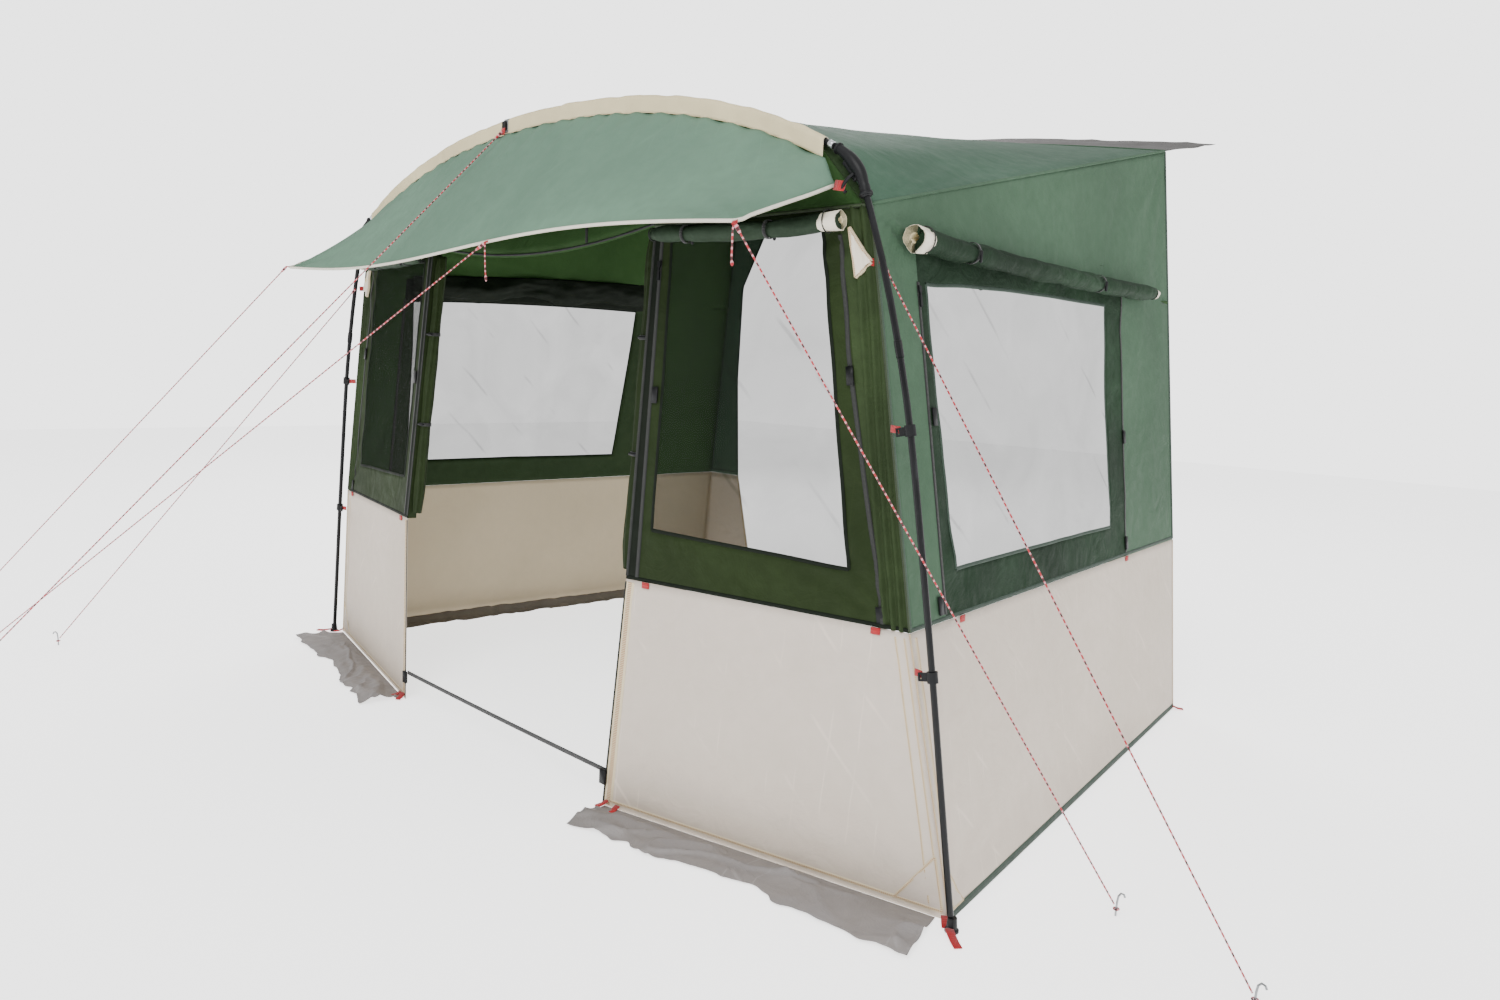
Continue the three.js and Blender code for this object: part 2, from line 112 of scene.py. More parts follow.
def make_camera(place, yaw, pitch, roll, lens):
    ahead = Vector((cos(pitch) * sin(yaw), cos(pitch) * cos(yaw), sin(pitch)))
    level = Vector((cos(yaw), -sin(yaw), 0))
    up = level.cross(ahead)
    right = level * cos(roll) + up * sin(roll)
    top = up * cos(roll) - level * sin(roll)
    data = bpy.data.cameras.new("camera")
    data.lens = lens
    data.sensor_width = 36
    data.clip_end = 60
    camera = add_object("camera", data)
    camera.matrix_world = Matrix((right, top, -ahead)).transposed().to_4x4()
    camera.matrix_world.translation = Vector(place)
    bpy.context.scene.camera = camera


make_camera(at(2756.5, -1900.9, 1269.5), -0.762, -0.133, 0.041, 23.906)


# ---- Materials --------------------------------------------------------------------------------


def rgb(text, gain=1.0):
    channels = [int(text[k:k + 2], 16) / 255 for k in (0, 2, 4)]
    linear = [c / 12.92 if c < 0.04045 else ((c + 0.055) / 1.055) ** 2.4 for c in channels]
    return (*[min(c * gain, 1.0) for c in linear], 1.0)


class Shader:
    """Node graph of one material; a socket given as an input is linked, a value is set."""

    def __init__(self, name):
        self.material = bpy.data.materials.new(name)
        self.material.use_nodes = True
        self.tree = self.material.node_tree
        self.tree.nodes.clear()
        coordinates = self.tree.nodes.new("ShaderNodeTexCoord")
        self.uv = coordinates.outputs["UV"]
        self.place = coordinates.outputs["Object"]

    def add(self, kind, inputs=(), out=0, **settings):
        node = self.tree.nodes.new("ShaderNode" + kind)
        for key, value in settings.items():
            setattr(node, key, value)
        for key, value in dict(inputs).items():
            if isinstance(value, bpy.types.NodeSocket):
                self.tree.links.new(value, node.inputs[key])
            else:
                node.inputs[key].default_value = value
        return node.outputs[out]

    def noise(self, scale, detail=3.0, vector=None, warp=0.0):
        inputs = {"Vector": vector or self.place, "Scale": scale, "Detail": detail}
        return self.add("TexNoise", {**inputs, "Distortion": warp})

    def bands(self, scale, direction, vector=None, warp=0.0):
        inputs = {"Vector": vector or self.uv, "Scale": scale, "Distortion": warp}
        return self.add("TexWave", inputs, out=1, bands_direction=direction)

    def spread(self, value, low, high, start=0.0, end=1.0):
        inputs = {"Value": value, "From Min": start, "From Max": end, "To Min": low, "To Max": high}
        return self.add("MapRange", inputs)

    def maths(self, operation, a, b):
        return self.add("Math", {0: a, 1: b}, operation=operation)

    def blend(self, share, a, b, how="MIX"):
        return self.add("Mix", {0: share, 6: a, 7: b}, out=2, data_type="RGBA", blend_type=how)

    def bump(self, height, strength, distance, normal=None):
        inputs = {"Height": height, "Strength": strength, "Distance": distance}
        if normal:
            inputs["Normal"] = normal
        return self.add("Bump", inputs)

    def surface(self, color, rough, normal, more=()):
        inputs = {"Base Color": color, "Roughness": rough, "Normal": normal, **dict(more)}
        return self.add("BsdfPrincipled", inputs)

    def finish(self, shader):
        self.tree.links.new(shader, self.tree.nodes.new("ShaderNodeOutputMaterial").inputs[0])
        return self.material


def cloth(name, color, dark=0.82, light=1.1, glow=0.0, glow_color=None, rough=(0.55, 0.8),
          crumple=0.35, weave=310.0, soil=0.25, lines=0.15, shine=0.12):
    """Coated polyester: plain weave, colour variation, fine crumples, soil near the ground and
    lighter lines along creases that are a painted highlight.
    """
    s = Shader(name)
    blotch = s.noise(1.6, 3.0, warp=0.6)
    shade = s.blend(s.spread(blotch, 0, 1, 0.3, 0.7), rgb(color, dark), rgb(color, light))
    mottle = s.noise(26.0, 5.0)
    shade = s.blend(s.spread(mottle, 0.0, 0.35, 0.35, 0.75), shade, rgb(color, dark * 0.92))
    thread = s.maths("MULTIPLY", s.bands(weave, "X"), s.bands(weave, "Y"))
    shade = s.blend(s.spread(thread, 0.0, 0.06), shade, rgb(color, dark * 0.7))
    height = s.add("SeparateXYZ", {0: s.place}, out=2)
    dusty = s.maths("MULTIPLY", s.spread(height, soil, 0.0, 0.0, 0.16), s.noise(9.0, 4.0))
    shade = s.blend(dusty, shade, rgb("8a7f6c"))
    # Lighter lines along creases: a painted highlight where folds would catch the light.
    slanted_highlight = s.spread(s.bands(2.7, "DIAGONAL", warp=0.7), 0.0, lines, 0.988, 1.0)
    upright_highlight = s.spread(s.bands(3.9, "X", warp=1.1), 0.0, lines, 0.99, 1.0)
    line = s.maths("MULTIPLY", s.maths("MAXIMUM", slanted_highlight, upright_highlight),
                   s.spread(s.noise(5.5, 2.0), 0.0, 1.0, 0.54, 0.64))
    shade = s.blend(line, shade, rgb(color, light * 1.22))
    creases = s.noise(7.0, 6.0, warp=1.4)
    fine = s.noise(38.0, 4.0, warp=0.8)
    normal = s.bump(creases, crumple, 0.012)
    normal = s.bump(fine, crumple * 0.5, 0.003, normal)
    normal = s.bump(thread, 0.12, 0.0004, normal)
    body = s.surface(shade, s.spread(mottle, *rough), normal, {"Specular IOR Level": shine})
    if glow:
        through = s.add("BsdfTranslucent", {"Color": rgb(glow_color or color), "Normal": normal})
        body = s.add("MixShader", {0: glow, 1: body, 2: through})
    return s.finish(body)


def netting(name, color, thin, thick):
    """Fine insect mesh, woven so finely that it dims what is behind it."""
    s = Shader(name)
    threads = s.maths("MAXIMUM", s.bands(240.0, "X"), s.bands(240.0, "Y"))
    drift = s.noise(3.0, 4.0, warp=1.5)
    pressed = s.maths("MAXIMUM", s.spread(s.bands(2.3, "DIAGONAL", warp=0.8), 0.0, 1.0, 0.985, 1.0),
                      s.spread(s.bands(3.1, "Z", warp=1.2), 0.0, 1.0, 0.988, 1.0))
    pressed = s.maths("MULTIPLY", pressed, s.spread(s.noise(5.0, 2.0), 0.0, 1.0, 0.5, 0.62))
    cover = s.spread(s.maths("MULTIPLY", threads, threads), thin, thick)
    cover = s.maths("ADD", cover, s.spread(drift, -0.02, 0.02, 0.3, 0.7))
    cover = s.maths("ADD", cover, s.spread(pressed, 0.0, 0.07))
    shade = s.blend(drift, rgb(color, 0.8), rgb(color, 1.25))
    normal = s.bump(drift, 0.3, 0.01)
    return s.finish(s.surface(shade, s.spread(drift, 0.8, 1.0), normal,
                              {"Alpha": cover, "Specular IOR Level": 0.05}))


def webbing(name, color, rib=55.0, rough=0.75):
    """Woven tape with ribs across it and a fuzzy surface."""
    s = Shader(name)
    ribs = s.maths("MULTIPLY", s.bands(rib, "X", warp=0.4), s.bands(rib * 1.6, "Y"))
    worn = s.noise(30.0, 4.0)
    shade = s.blend(s.spread(ribs, 0.1, 0.9), rgb(color, 0.55), rgb(color, 1.15))
    shade = s.blend(s.spread(worn, 0.0, 0.3, 0.5, 0.8), shade, rgb(color, 1.6))
    return s.finish(s.surface(shade, s.spread(worn, rough - 0.1, rough + 0.15),
                              s.bump(ribs, 0.6, 0.0008), {"Sheen Weight": 0.15}))


def binding(name, color, stitch):
    """Folded tape with a row of lockstitches near each edge."""
    s = Shader(name)
    along = s.bands(62.0, "X")
    across = s.add("SeparateXYZ", {0: s.uv}, out=1)
    row = s.maths("COMPARE", s.add("Math", {0: across}, operation="FRACT"), 0.5)
    row.node.inputs[2].default_value = 0.16
    dash = s.maths("MULTIPLY", s.spread(along, 0, 1, 0.35, 0.5), row)
    worn = s.noise(40.0, 4.0)
    shade = s.blend(s.spread(worn, 0.0, 0.5, 0.3, 0.8), rgb(color), rgb(color, 0.8))
    shade = s.blend(dash, shade, rgb(stitch))
    thread = s.bands(310.0, "Y")
    normal = s.bump(thread, 0.3, 0.0004, s.bump(dash, 0.8, 0.0007))
    return s.finish(s.surface(shade, s.spread(worn, 0.6, 0.85), normal))


def zipper(name):
    """Black tape with a coil of teeth down the middle."""
    s = Shader(name)
    teeth = s.bands(105.0, "X")
    across = s.add("Math", {0: s.add("SeparateXYZ", {0: s.uv}, out=1)}, operation="FRACT")
    middle = s.maths("COMPARE", across, 0.5)
    middle.node.inputs[2].default_value = 0.2
    coil = s.maths("MULTIPLY", teeth, middle)
    worn = s.noise(24.0, 4.0)
    shade = s.blend(coil, rgb("080a08"), rgb("232523"))
    shade = s.blend(s.spread(worn, 0.0, 0.4, 0.5, 0.8), shade, rgb("14180f"))
    return s.finish(s.surface(shade, s.spread(coil, 0.75, 0.4), s.bump(coil, 0.9, 0.001)))


def braid(name, color, fleck, dark):
    """Round braided cord with pale and dark flecks along it."""
    s = Shader(name)
    twist = s.add("Mapping", {"Vector": s.uv, "Scale": (1.0, 0.4, 1.0)})
    pale = s.spread(s.bands(22.0, "X"), 0, 1, 0.66, 0.76)
    marks = s.spread(s.bands(11.0, "X", vector=twist), 0, 1, 0.82, 0.9)
    strands = s.bands(120.0, "DIAGONAL")
    shade = s.blend(pale, rgb(color), rgb(fleck))
    shade = s.blend(marks, shade, rgb(dark))
    shade = s.blend(s.spread(strands, 0.0, 0.25), shade, rgb(color, 0.5))
    return s.finish(s.surface(shade, s.spread(strands, 0.6, 0.8), s.bump(strands, 0.5, 0.0006),
                              {"Sheen Weight": 0.2}))


def solid(name, color, metal=0.0, rough=(0.3, 0.5), grain=160.0, depth=0.0004, worn_color=None,
          worn=0.0):
    """Moulded plastic, powder coat or bare metal, with a fine surface grain and worn patches."""
    s = Shader(name)
    fine = s.noise(grain, 4.0)
    patch = s.noise(11.0, 6.0, warp=0.5)
    shade = s.blend(s.spread(patch, 0, 1, 0.35, 0.65), rgb(color, 0.8), rgb(color, 1.25))
    if worn:
        bare = s.spread(patch, 0.0, 1.0, 0.66, 0.7)
        shade = s.blend(s.maths("MULTIPLY", bare, worn), shade, rgb(worn_color))
    more = {"Metallic": metal, "Specular IOR Level": 0.5 if metal else 0.22}
    return s.finish(s.surface(shade, s.spread(patch, *rough, 0.3, 0.7), s.bump(fine, 0.35, depth),
                              more))


SAGE = cloth("sage_outside", "688874", glow=0.15, glow_color="6c9062", crumple=0.3)
SAGE_IN = cloth("sage_inside", "4e6647", glow=0.2, glow_color="4d703c", crumple=0.3)
GREEN = cloth("green_outside", "415b46", glow=0.08, glow_color="3f6240", crumple=0.6, shine=0.2)
GREEN_IN = cloth("green_inside", "35532a", glow=0.3, glow_color="4d7a30", crumple=0.4)
# Darker copy of the green cloth for the front walls' gussets: painted shade.
GUSSET_PAINTED_SHADE = cloth("gusset_painted_shade", "2a371f", dark=0.6, light=1.35, glow=0.06, glow_color="33491d",
               crumple=1.0)
ROOF = cloth("roof_outside", "3d5a48", glow=0.08, glow_color="3f6240", crumple=0.5, shine=0.2)
DARK = cloth("dark_green_outside", "1b2f1e", dark=0.5, light=1.4, crumple=1.0)
OLIVE = cloth("olive_outside", "1e2a11", dark=0.7, light=1.2, crumple=0.7)
# Lighter green than the header's olive cloth, so that it looks lit under the visor: painted light.
HEADER_PAINTED_LIGHT = cloth("header_cloth", "34512a", glow=0.35, glow_color="4f7a34", crumple=0.6)
OLIVE_IN = cloth("olive_inside", "24341c", dark=0.78, glow=0.15, glow_color="33521d", crumple=0.5)
# Very dark green; on the inner face of each side wall's band above the window, and on the sheet
# inside there, it is painted shadow of the rolled blind.
DEEP = cloth("deep_green", "0e150c", dark=0.75, crumple=0.5)
BEIGE = cloth("beige_outside", "d3c8bd", dark=0.94, light=1.04, glow=0.2, glow_color="dccfb4",
              crumple=0.6, lines=0.5)
BEIGE_IN = cloth("beige_inside", "bdb5a5", dark=0.9, light=1.05, glow=0.5, glow_color="d3c8ac",
                 crumple=0.45)
CREAM = cloth("cream_outside", "f0e8d6", dark=0.92, light=1.0, glow=0.15, glow_color="efe0c0")
CREAM_IN = cloth("cream_inside", "dccfa8", dark=0.88, glow=0.15, glow_color="e0cfa0")
GREY = cloth("grey_outside", "8e8a8a", dark=0.84, crumple=1.0, rough=(0.4, 0.6), glow=0.08,
             lines=0.6, shine=0.3)
FRONT_ROLL = cloth("front_blind_outside", "2c3a2c", dark=0.5, light=1.3, crumple=1.0)
STRIP_GREY = cloth("strip_outside", "605e5d", dark=0.86, rough=(0.45, 0.7), glow=0.05)
GREY_IN = cloth("grey_inside", "6b6661", dark=0.86, crumple=1.0, rough=(0.45, 0.7))
NET = netting("insect_mesh", "141714", 0.37, 0.46)
RED_TAPE = webbing("red_tape", "b80f18")
BLACK_TAPE = webbing("black_tape", "08090a")
GREY_TAPE = webbing("grey_tape", "74797b")
WHITE_PIPING = binding("white_binding", "cdc9ba", "aaa694")
GREEN_PIPING = binding("green_binding", "22382a", "16241c")
BLACK_PIPING = binding("black_binding", "0a0c0a", "1c201b")
SEAM = binding("green_seam", "344b39", "26372b")
PALE_SEAM = binding("beige_seam", "cfc0a0", "a67f5c")
OLIVE_PIPING = binding("olive_binding", "2c3a1f", "1d2715")
ZIP = zipper("zip_coil")
CORD = braid("guy_cord", "b00a1e", "e0a0a8", "30080d")
STEEL = solid("black_powder_coat", "0b0c0e", rough=(0.26, 0.42), worn_color="3a3c40", worn=0.2)
PLASTIC = solid("black_moulded", "0d0e10", rough=(0.4, 0.6), grain=240.0)
PEG = solid("zinc_wire", "8d9092", metal=1.0, rough=(0.3, 0.5), worn_color="6d6a60", worn=0.4)
FERRULE = solid("bare_ferrule", "c3c6c9", metal=1.0, rough=(0.2, 0.35), worn_color="8a8a86",
                worn=0.5)


# ---- Surfaces ---------------------------------------------------------------------------------


def lattice(i, j, seed):
    h = (i * 374761393 + j * 668265263 + seed * 974634777) & 0xFFFFFFFF
    h = ((h ^ (h >> 13)) * 1274126177) & 0xFFFFFFFF
    return ((h ^ (h >> 16)) & 0xFFFF) / 32768.0 - 1.0


def noise(x, y, seed):
    """Smooth noise from -1 to 1."""
    i, j = np.floor(x).astype(np.int64), np.floor(y).astype(np.int64)
    fx, fy = x - i, y - j
    fx, fy = fx ** 3 * (fx * (fx * 6 - 15) + 10), fy ** 3 * (fy * (fy * 6 - 15) + 10)
    low = lattice(i, j, seed) * (1 - fx) + lattice(i + 1, j, seed) * fx
    high = lattice(i, j + 1, seed) * (1 - fx) + lattice(i + 1, j + 1, seed) * fx
    return low * (1 - fy) + high * fy


def rough(x, y, seed):
    return noise(x, y, seed) + 0.5 * noise(2.1 * x, 2.1 * y, seed + 1) \
        + 0.25 * noise(4.3 * x, 4.3 * y, seed + 2)


def ridges(x, y, seed):
    """Sharp crease lines, 1 on a crease and 0 away from it."""
    return np.clip(1 - 2.2 * np.abs(noise(x, y, seed)), 0, 1) ** 2


def smooth(t):
    t = np.clip(t, 0, 1)
    return t * t * (3 - 2 * t)


def unit(a):
    return a / np.maximum(np.linalg.norm(a, axis=-1, keepdims=True), 1e-12)


def spline(points, per=24):
    """Smooth curve through the points, as a function of 0 to 1."""
    p = np.array(points)
    ends = np.vstack([2 * p[0] - p[1], p, 2 * p[-1] - p[-2]])
    t = np.linspace(0, 1, per, endpoint=False)[:, None]
    runs = []
    for a, b, c, d in zip(ends, ends[1:], ends[2:], ends[3:]):
        runs.append(0.5 * (2 * b + (c - a) * t + (2 * a - 5 * b + 4 * c - d) * t ** 2
                           + (3 * b - a - 3 * c + d) * t ** 3))
    table = np.vstack([*runs, p[-1:]])
    grid = np.linspace(0, 1, len(table))

    def curve(s):
        s = np.asarray(s, float)
        return np.stack([np.interp(s, grid, table[:, k]) for k in range(3)], axis=-1)
    return curve


class Surface:
    """Cloth surface of u and v; folds give how far it stands off along its outward normal."""

    def __init__(self, base, outward=1, folds=None):
        self.base = lambda u, v: base(np.asarray(u, float), np.asarray(v, float))
        self.outward = outward
        self.folds = folds

    def normal(self, u, v, step=2e-3):
        du = self.base(u + step, v) - self.base(u - step, v)
        dv = self.base(u, v + step) - self.base(u, v - step)
        return unit(np.cross(du, dv)) * self.outward

    def __call__(self, u, v, lift=0.0):
        u, v = np.broadcast_arrays(np.asarray(u, float), np.asarray(v, float))
        off = lift + (self.folds(u, v) if self.folds else 0.0)
        return self.base(u, v) + self.normal(u, v) * np.asarray(off)[..., None]


def folds(width, height, seed, soft=0.005, sharp=0.0018, pulls=(), bow=0.0, grain=(1.7, 1.3)):
    """Soft waves, crease lines and fans of tension folds from points (u, v, size, count)."""

    def off(u, v):
        x, y = u * width, v * height
        edge = smooth(np.minimum(np.minimum(u, 1 - u) * width, np.minimum(v, 1 - v) * height) / 0.1)
        d = soft * rough(x * grain[0], y * grain[1], seed)
        d = d + sharp * ridges(x * 2.9 + 0.7 * noise(y * 2, x, seed + 3), y * 2.1, seed + 5)
        d = d - sharp * ridges(x * 2.0 - y * 1.4, y * 2.6 + x, seed + 9)
        for pu, pv, size, count in pulls:
            dx, dy = x - pu * width, y - pv * height
            reach = np.hypot(dx, dy)
            angle = np.arctan2(dy, dx)
            turn = angle * count + 0.8 * noise(reach * 3, angle * 2, seed)
            d = d + size * np.sin(turn) * np.exp(-reach / 0.45) * smooth(reach / 0.1)
        return edge * d - bow * 16 * u * (1 - u) * v * (1 - v)
    return off


def fan(dx, dy, count, far, near):
    """Tension folds that spread from a corner and die out with distance."""
    reach = np.hypot(dx, dy)
    return np.sin(np.arctan2(dy, dx) * count) * np.exp(-reach / far) * smooth(reach / near)


def quad(a, b, c, d, side):
    a, b, c, d = (p * mirror(side) for p in (a, b, c, d))
    return lambda u, v: mix(mix(a, b, u), mix(d, c, u), v)


# ---- Mesh building ----------------------------------------------------------------------------


class Kit:
    """Collects grids and sweeps into one mesh with UVs in metres."""

    def __init__(self):
        self.points = []
        self.uvs = []
        self.faces = []
        self.slots = []
        self.count = 0

    def grid(self, p, uv=None, keep=None, slots=None, slot=0, outward=1, wrap=False):
        rows, columns = p.shape[:2]
        if uv is None:
            across = np.cumsum(np.linalg.norm(np.diff(p, axis=1, prepend=p[:, :1]), axis=-1), axis=1)
            along = np.cumsum(np.linalg.norm(np.diff(p, axis=0, prepend=p[:1]), axis=-1), axis=0)
            uv = np.stack([across, along], axis=-1)
        self.points.append(p.reshape(-1, 3))
        self.uvs.append(uv.reshape(-1, 2))
        for j in range(rows - 1):
            for i in range(columns - (0 if wrap else 1)):
                if keep is not None and not keep[j, i]:
                    continue
                a = self.count + j * columns + i
                b = self.count + j * columns + (i + 1) % columns
                face = (a, b, b + columns, a + columns)
                self.faces.append(face if outward > 0 else face[::-1])
                self.slots.append(int(slots[j, i]) if slots is not None else slot)
        self.count += rows * columns
        return self

    def sweep(self, points, section, across, slot=0, caps=True):
        """A section of (across, up) points, one or one per station, swept along a line."""
        points = np.asarray(points, float)
        way = unit(np.gradient(points, axis=0))
        side = np.broadcast_to(np.asarray(across, float), way.shape)
        side = unit(side - way * (side * way).sum(-1, keepdims=True))
        up = np.cross(way, side)
        section = np.asarray(section, float)
        if section.ndim == 2:
            section = np.broadcast_to(section, (len(points), *section.shape))
        p = points[:, None] + side[:, None] * section[..., :1] + up[:, None] * section[..., 1:]
        sides = section.shape[1]
        run = np.cumsum(np.linalg.norm(np.diff(points, axis=0, prepend=points[:1]), axis=-1))
        uv = np.stack(np.broadcast_arrays(run[:, None], np.arange(sides)[None] / sides), axis=-1)
        start = self.count
        self.grid(p, uv=uv, slot=slot, wrap=True)
        if caps:
            last = start + (len(points) - 1) * sides
            self.faces.append(tuple(range(start + sides - 1, start - 1, -1)))
            self.faces.append(tuple(range(last, last + sides)))
            self.slots += [slot, slot]
        return self

    def tube(self, points, radius, sides=10, across=(0, 0, 1), slot=0):
        turn = np.linspace(0, 2 * pi, sides, endpoint=False)
        ring = np.stack([np.cos(turn), np.sin(turn)], axis=-1)
        scale = np.broadcast_to(np.asarray(radius, float), len(points))
        return self.sweep(points, ring[None] * scale[:, None, None], across, slot)

    def strap(self, points, width, thick, across, slot=0):
        """Flat tape with softened edges."""
        w, t = width / 2, thick / 2
        rim = [(-w, -t * 0.4), (-w * 0.9, -t), (w * 0.9, -t), (w, -t * 0.4), (w, t * 0.4),
               (w * 0.9, t), (-w * 0.9, t), (-w, t * 0.4)]
        return self.sweep(points, rim, across, slot)

    def toggle(self, middle, along, across, reach):
        """Short plastic bar that closes a tie."""
        stops = row(-reach, 0.003 - reach, reach - 0.003, reach)[:, None]
        radius = row(0.002, 0.0042, 0.0042, 0.002)
        return self.tube(middle + along * stops, radius, 10, across=across, slot=1)

    def ribbon(self, surface, line, width, lift, slot=0, step=0.03):
        """Strip on a surface along (u, v) points, slightly domed; a negative lift is inside."""
        knots = np.array(line, float)
        rough_p = surface(knots[:, 0], knots[:, 1])
        run = np.concatenate([[0], np.cumsum(np.linalg.norm(np.diff(rough_p, axis=0), axis=1))])
        s = np.linspace(0, run[-1], max(int(run[-1] / step), 2) + 1)
        u, v = np.interp(s, run, knots[:, 0]), np.interp(s, run, knots[:, 1])
        way = unit(np.gradient(surface.base(u, v), axis=0))
        out = surface.normal(u, v)
        side = np.cross(out, way)
        middle = surface(u, v)
        sign = np.sign(lift)
        rows = []
        for across, high in ((-0.5, 0.15), (-0.36, 1), (0, 1.15), (0.36, 1), (0.5, 0.15)):
            rows.append(middle + side * across * width + out * (lift * high + sign * 0.0002))
        p = np.stack(rows, axis=1)
        uv = np.stack(np.broadcast_arrays(s[:, None], np.linspace(0, 1, 5)[None]), axis=-1)
        return self.grid(p, uv=uv, slot=slot, outward=-sign)

    def build(self, name, materials, body="shelter", slot=None, replaces=()):
        mesh = bpy.data.meshes.new(name)
        points, uvs = np.vstack(self.points), np.vstack(self.uvs)
        mesh.from_pydata(points.tolist(), [], self.faces)
        corner = np.zeros(len(mesh.loops), np.int64)
        mesh.loops.foreach_get("vertex_index", corner)
        mesh.uv_layers.new(name="cloth").data.foreach_set("uv", uvs[corner].ravel())
        for material in materials:
            mesh.materials.append(material)
        mesh.polygons.foreach_set("material_index", self.slots)
        mesh.polygons.foreach_set("use_smooth", [True] * len(mesh.polygons))
        mesh.update()
        piece = add_object(name, mesh)
        if replaces:
            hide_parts(*replaces)
        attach(piece, body)
        return piece


def thicken(piece, thick, outer_slots):
    """Gives cloth its thickness, with the materials after outer_slots on its inner face."""
    shell = piece.modifiers.new("cloth", "SOLIDIFY")
    shell.thickness = thick
    shell.offset = -1
    shell.material_offset = outer_slots


def area_of(p, keep=None):
    a = np.linalg.norm(np.cross(p[:-1, 1:] - p[:-1, :-1], p[1:, :-1] - p[:-1, :-1]), axis=-1)
    b = np.linalg.norm(np.cross(p[:-1, 1:] - p[1:, 1:], p[1:, :-1] - p[1:, 1:]), axis=-1)
    cells = (a + b) / 2
    return float(cells[keep].sum() if keep is not None else cells.sum())


def sheet(name, surface, u, v, outside, inside, slot, replaces=(), body="shelter", held="stretched",
          keep=None, slots=None, thick=0.0011, rests_on=()):
    """One piece of cloth over grids of u and v, with its own inner face."""
    p = surface(u, v)
    kit = Kit().grid(p, keep=keep, slots=slots, outward=surface.outward)
    outside = outside if isinstance(outside, list) else [outside]
    inside = inside if isinstance(inside, list) else [inside]
    piece = kit.build(name, [*outside, *inside], body, slot, replaces)
    thicken(piece, thick, len(outside))
    flat = surface.base(u, v)
    rows = np.linalg.norm(np.diff(flat, axis=1), axis=-1).sum(1).max()
    columns = np.linalg.norm(np.diff(flat, axis=0), axis=-1).sum(0).max()
    size = (round(float(rows), 4), round(float(columns), 4))
    area = min(area_of(flat, keep), 0.999 * size[0] * size[1])
    return piece


# ---- Guy lines --------------------------------------------------------------------------------

GUYS = {
    "arch": (at(-200, -44, 2000), at(-1050, -1590, 30)),
    "visor_left": (at(-1198, -352, 1574), at(-2450, -1300, 30)),
    "visor_middle": (at(205, -352, 1587), at(-1717, -1398, 30)),
    "visor_right": (at(1199, -352, 1573), at(1868, 350, 30)),
    "side_left": (at(-1310, -34, 1520), at(-2093, -957, 30)),
    "side_right": (at(1316, 30, 1520), at(2218, 226, 30)),
}
PEG_LOOP = 0.0062
for name, (start, end) in GUYS.items():
    route = mix(start, end, span(0, 1, 24))
    away = unit((end - start) * row(1, 1, 0))
    cross = row(away[1], -away[0], 0)
    round_peg = end + away * PEG_LOOP - row(0, 0, 0.012)
    knot = Kit().tube(hoop(round_peg, away * PEG_LOOP, cross * PEG_LOOP, 16), 0.0021, 8, slot=0)
    hitch = mix(start, end, row(0, 0.004, 0.009, 0.013))
    knot.tube(hitch, row(0.003, 0.0048, 0.0045, 0.003), 8, across=(1, 0, 0))
    knot_piece = knot.build(f"guy_knots_{name}", [CORD], slot="red_cord")
    cord = Kit().tube(route, 0.002, 8, across=(1, 0, 0)).build(
        f"guy_{name}", [CORD], slot="red_cord", replaces=[f"guy_line_{name}"])
    tuple(start)
    [tuple(p) for p in route]

TAILS = {
    "visor_middle": [(205, -354, 1582), (210, -357, 1568), (214, -359, 1540), (218, -360, 1505),
                     (224, -361, 1478)],
    "visor_right": [(1198, -354, 1568), (1200, -358, 1556), (1202, -360, 1530), (1203, -361, 1500),
                    (1207, -362, 1482)],
}
for name, knots in TAILS.items():
    route = spline([at(*p) for p in knots])(span(0, 1, 18))
    radius = np.full(len(route), 0.002)
    radius[-3:-1] = 0.0036
    tail = Kit().tube(route, radius, 8, across=(1, 0, 0)).build(f"guy_tail_{name}", [CORD],
                                                                slot="red_cord")
    tuple(route[0])
    [tuple(p) for p in route]


# ---- Floor and light --------------------------------------------------------------------------


def make_stage():
    mesh = bpy.data.meshes.new("floor")
    size = 14.0
    mesh.from_pydata([(-size, -size, 0), (size, -size, 0), (size, size, 0), (-size, size, 0)], [],
                     [(0, 1, 2, 3)])
    s = Shader("pale_floor")
    mesh.materials.append(s.finish(s.add("BsdfPrincipled", {
        "Base Color": (0.93, 0.93, 0.93, 1), "Roughness": 0.9, "Specular IOR Level": 0.1,
        "Emission Color": (1, 1, 1, 1), "Emission Strength": 1.7,
    })))
    add_object("floor", mesh)

    world = bpy.data.worlds.new("studio")
    world.use_nodes = True
    tree = world.node_tree
    sky = tree.nodes["Background"].inputs
    sky["Color"].default_value = (1, 1, 1, 1)
    seen = tree.nodes.new("ShaderNodeLightPath")
    level = tree.nodes.new("ShaderNodeMapRange")
    level.inputs["To Min"].default_value = 1.1
    level.inputs["To Max"].default_value = 3.0
    tree.links.new(seen.outputs["Is Camera Ray"], level.inputs["Value"])
    tree.links.new(level.outputs[0], sky["Strength"])
    bpy.context.scene.world = world

    for name, place, size, power in (
        ("key", (2.5, -5.0, 5.5), 3.0, 260), ("fill", (6.0, 1.5, 3.5), 4.0, 60),
        ("back", (-4.5, 4.5, 5.0), 4.0, 260),
    ):
        light = bpy.data.lights.new(name, "AREA")
        light.size = size
        light.energy = power
        lamp = add_object(name, light)
        lamp.location = place
        lamp.rotation_euler = (Vector((0, 0, 1)) - Vector(place)).to_track_quat("-Z", "Y").to_euler()


make_stage()


# ---- Shape of the shelter ---------------------------------------------------------------------

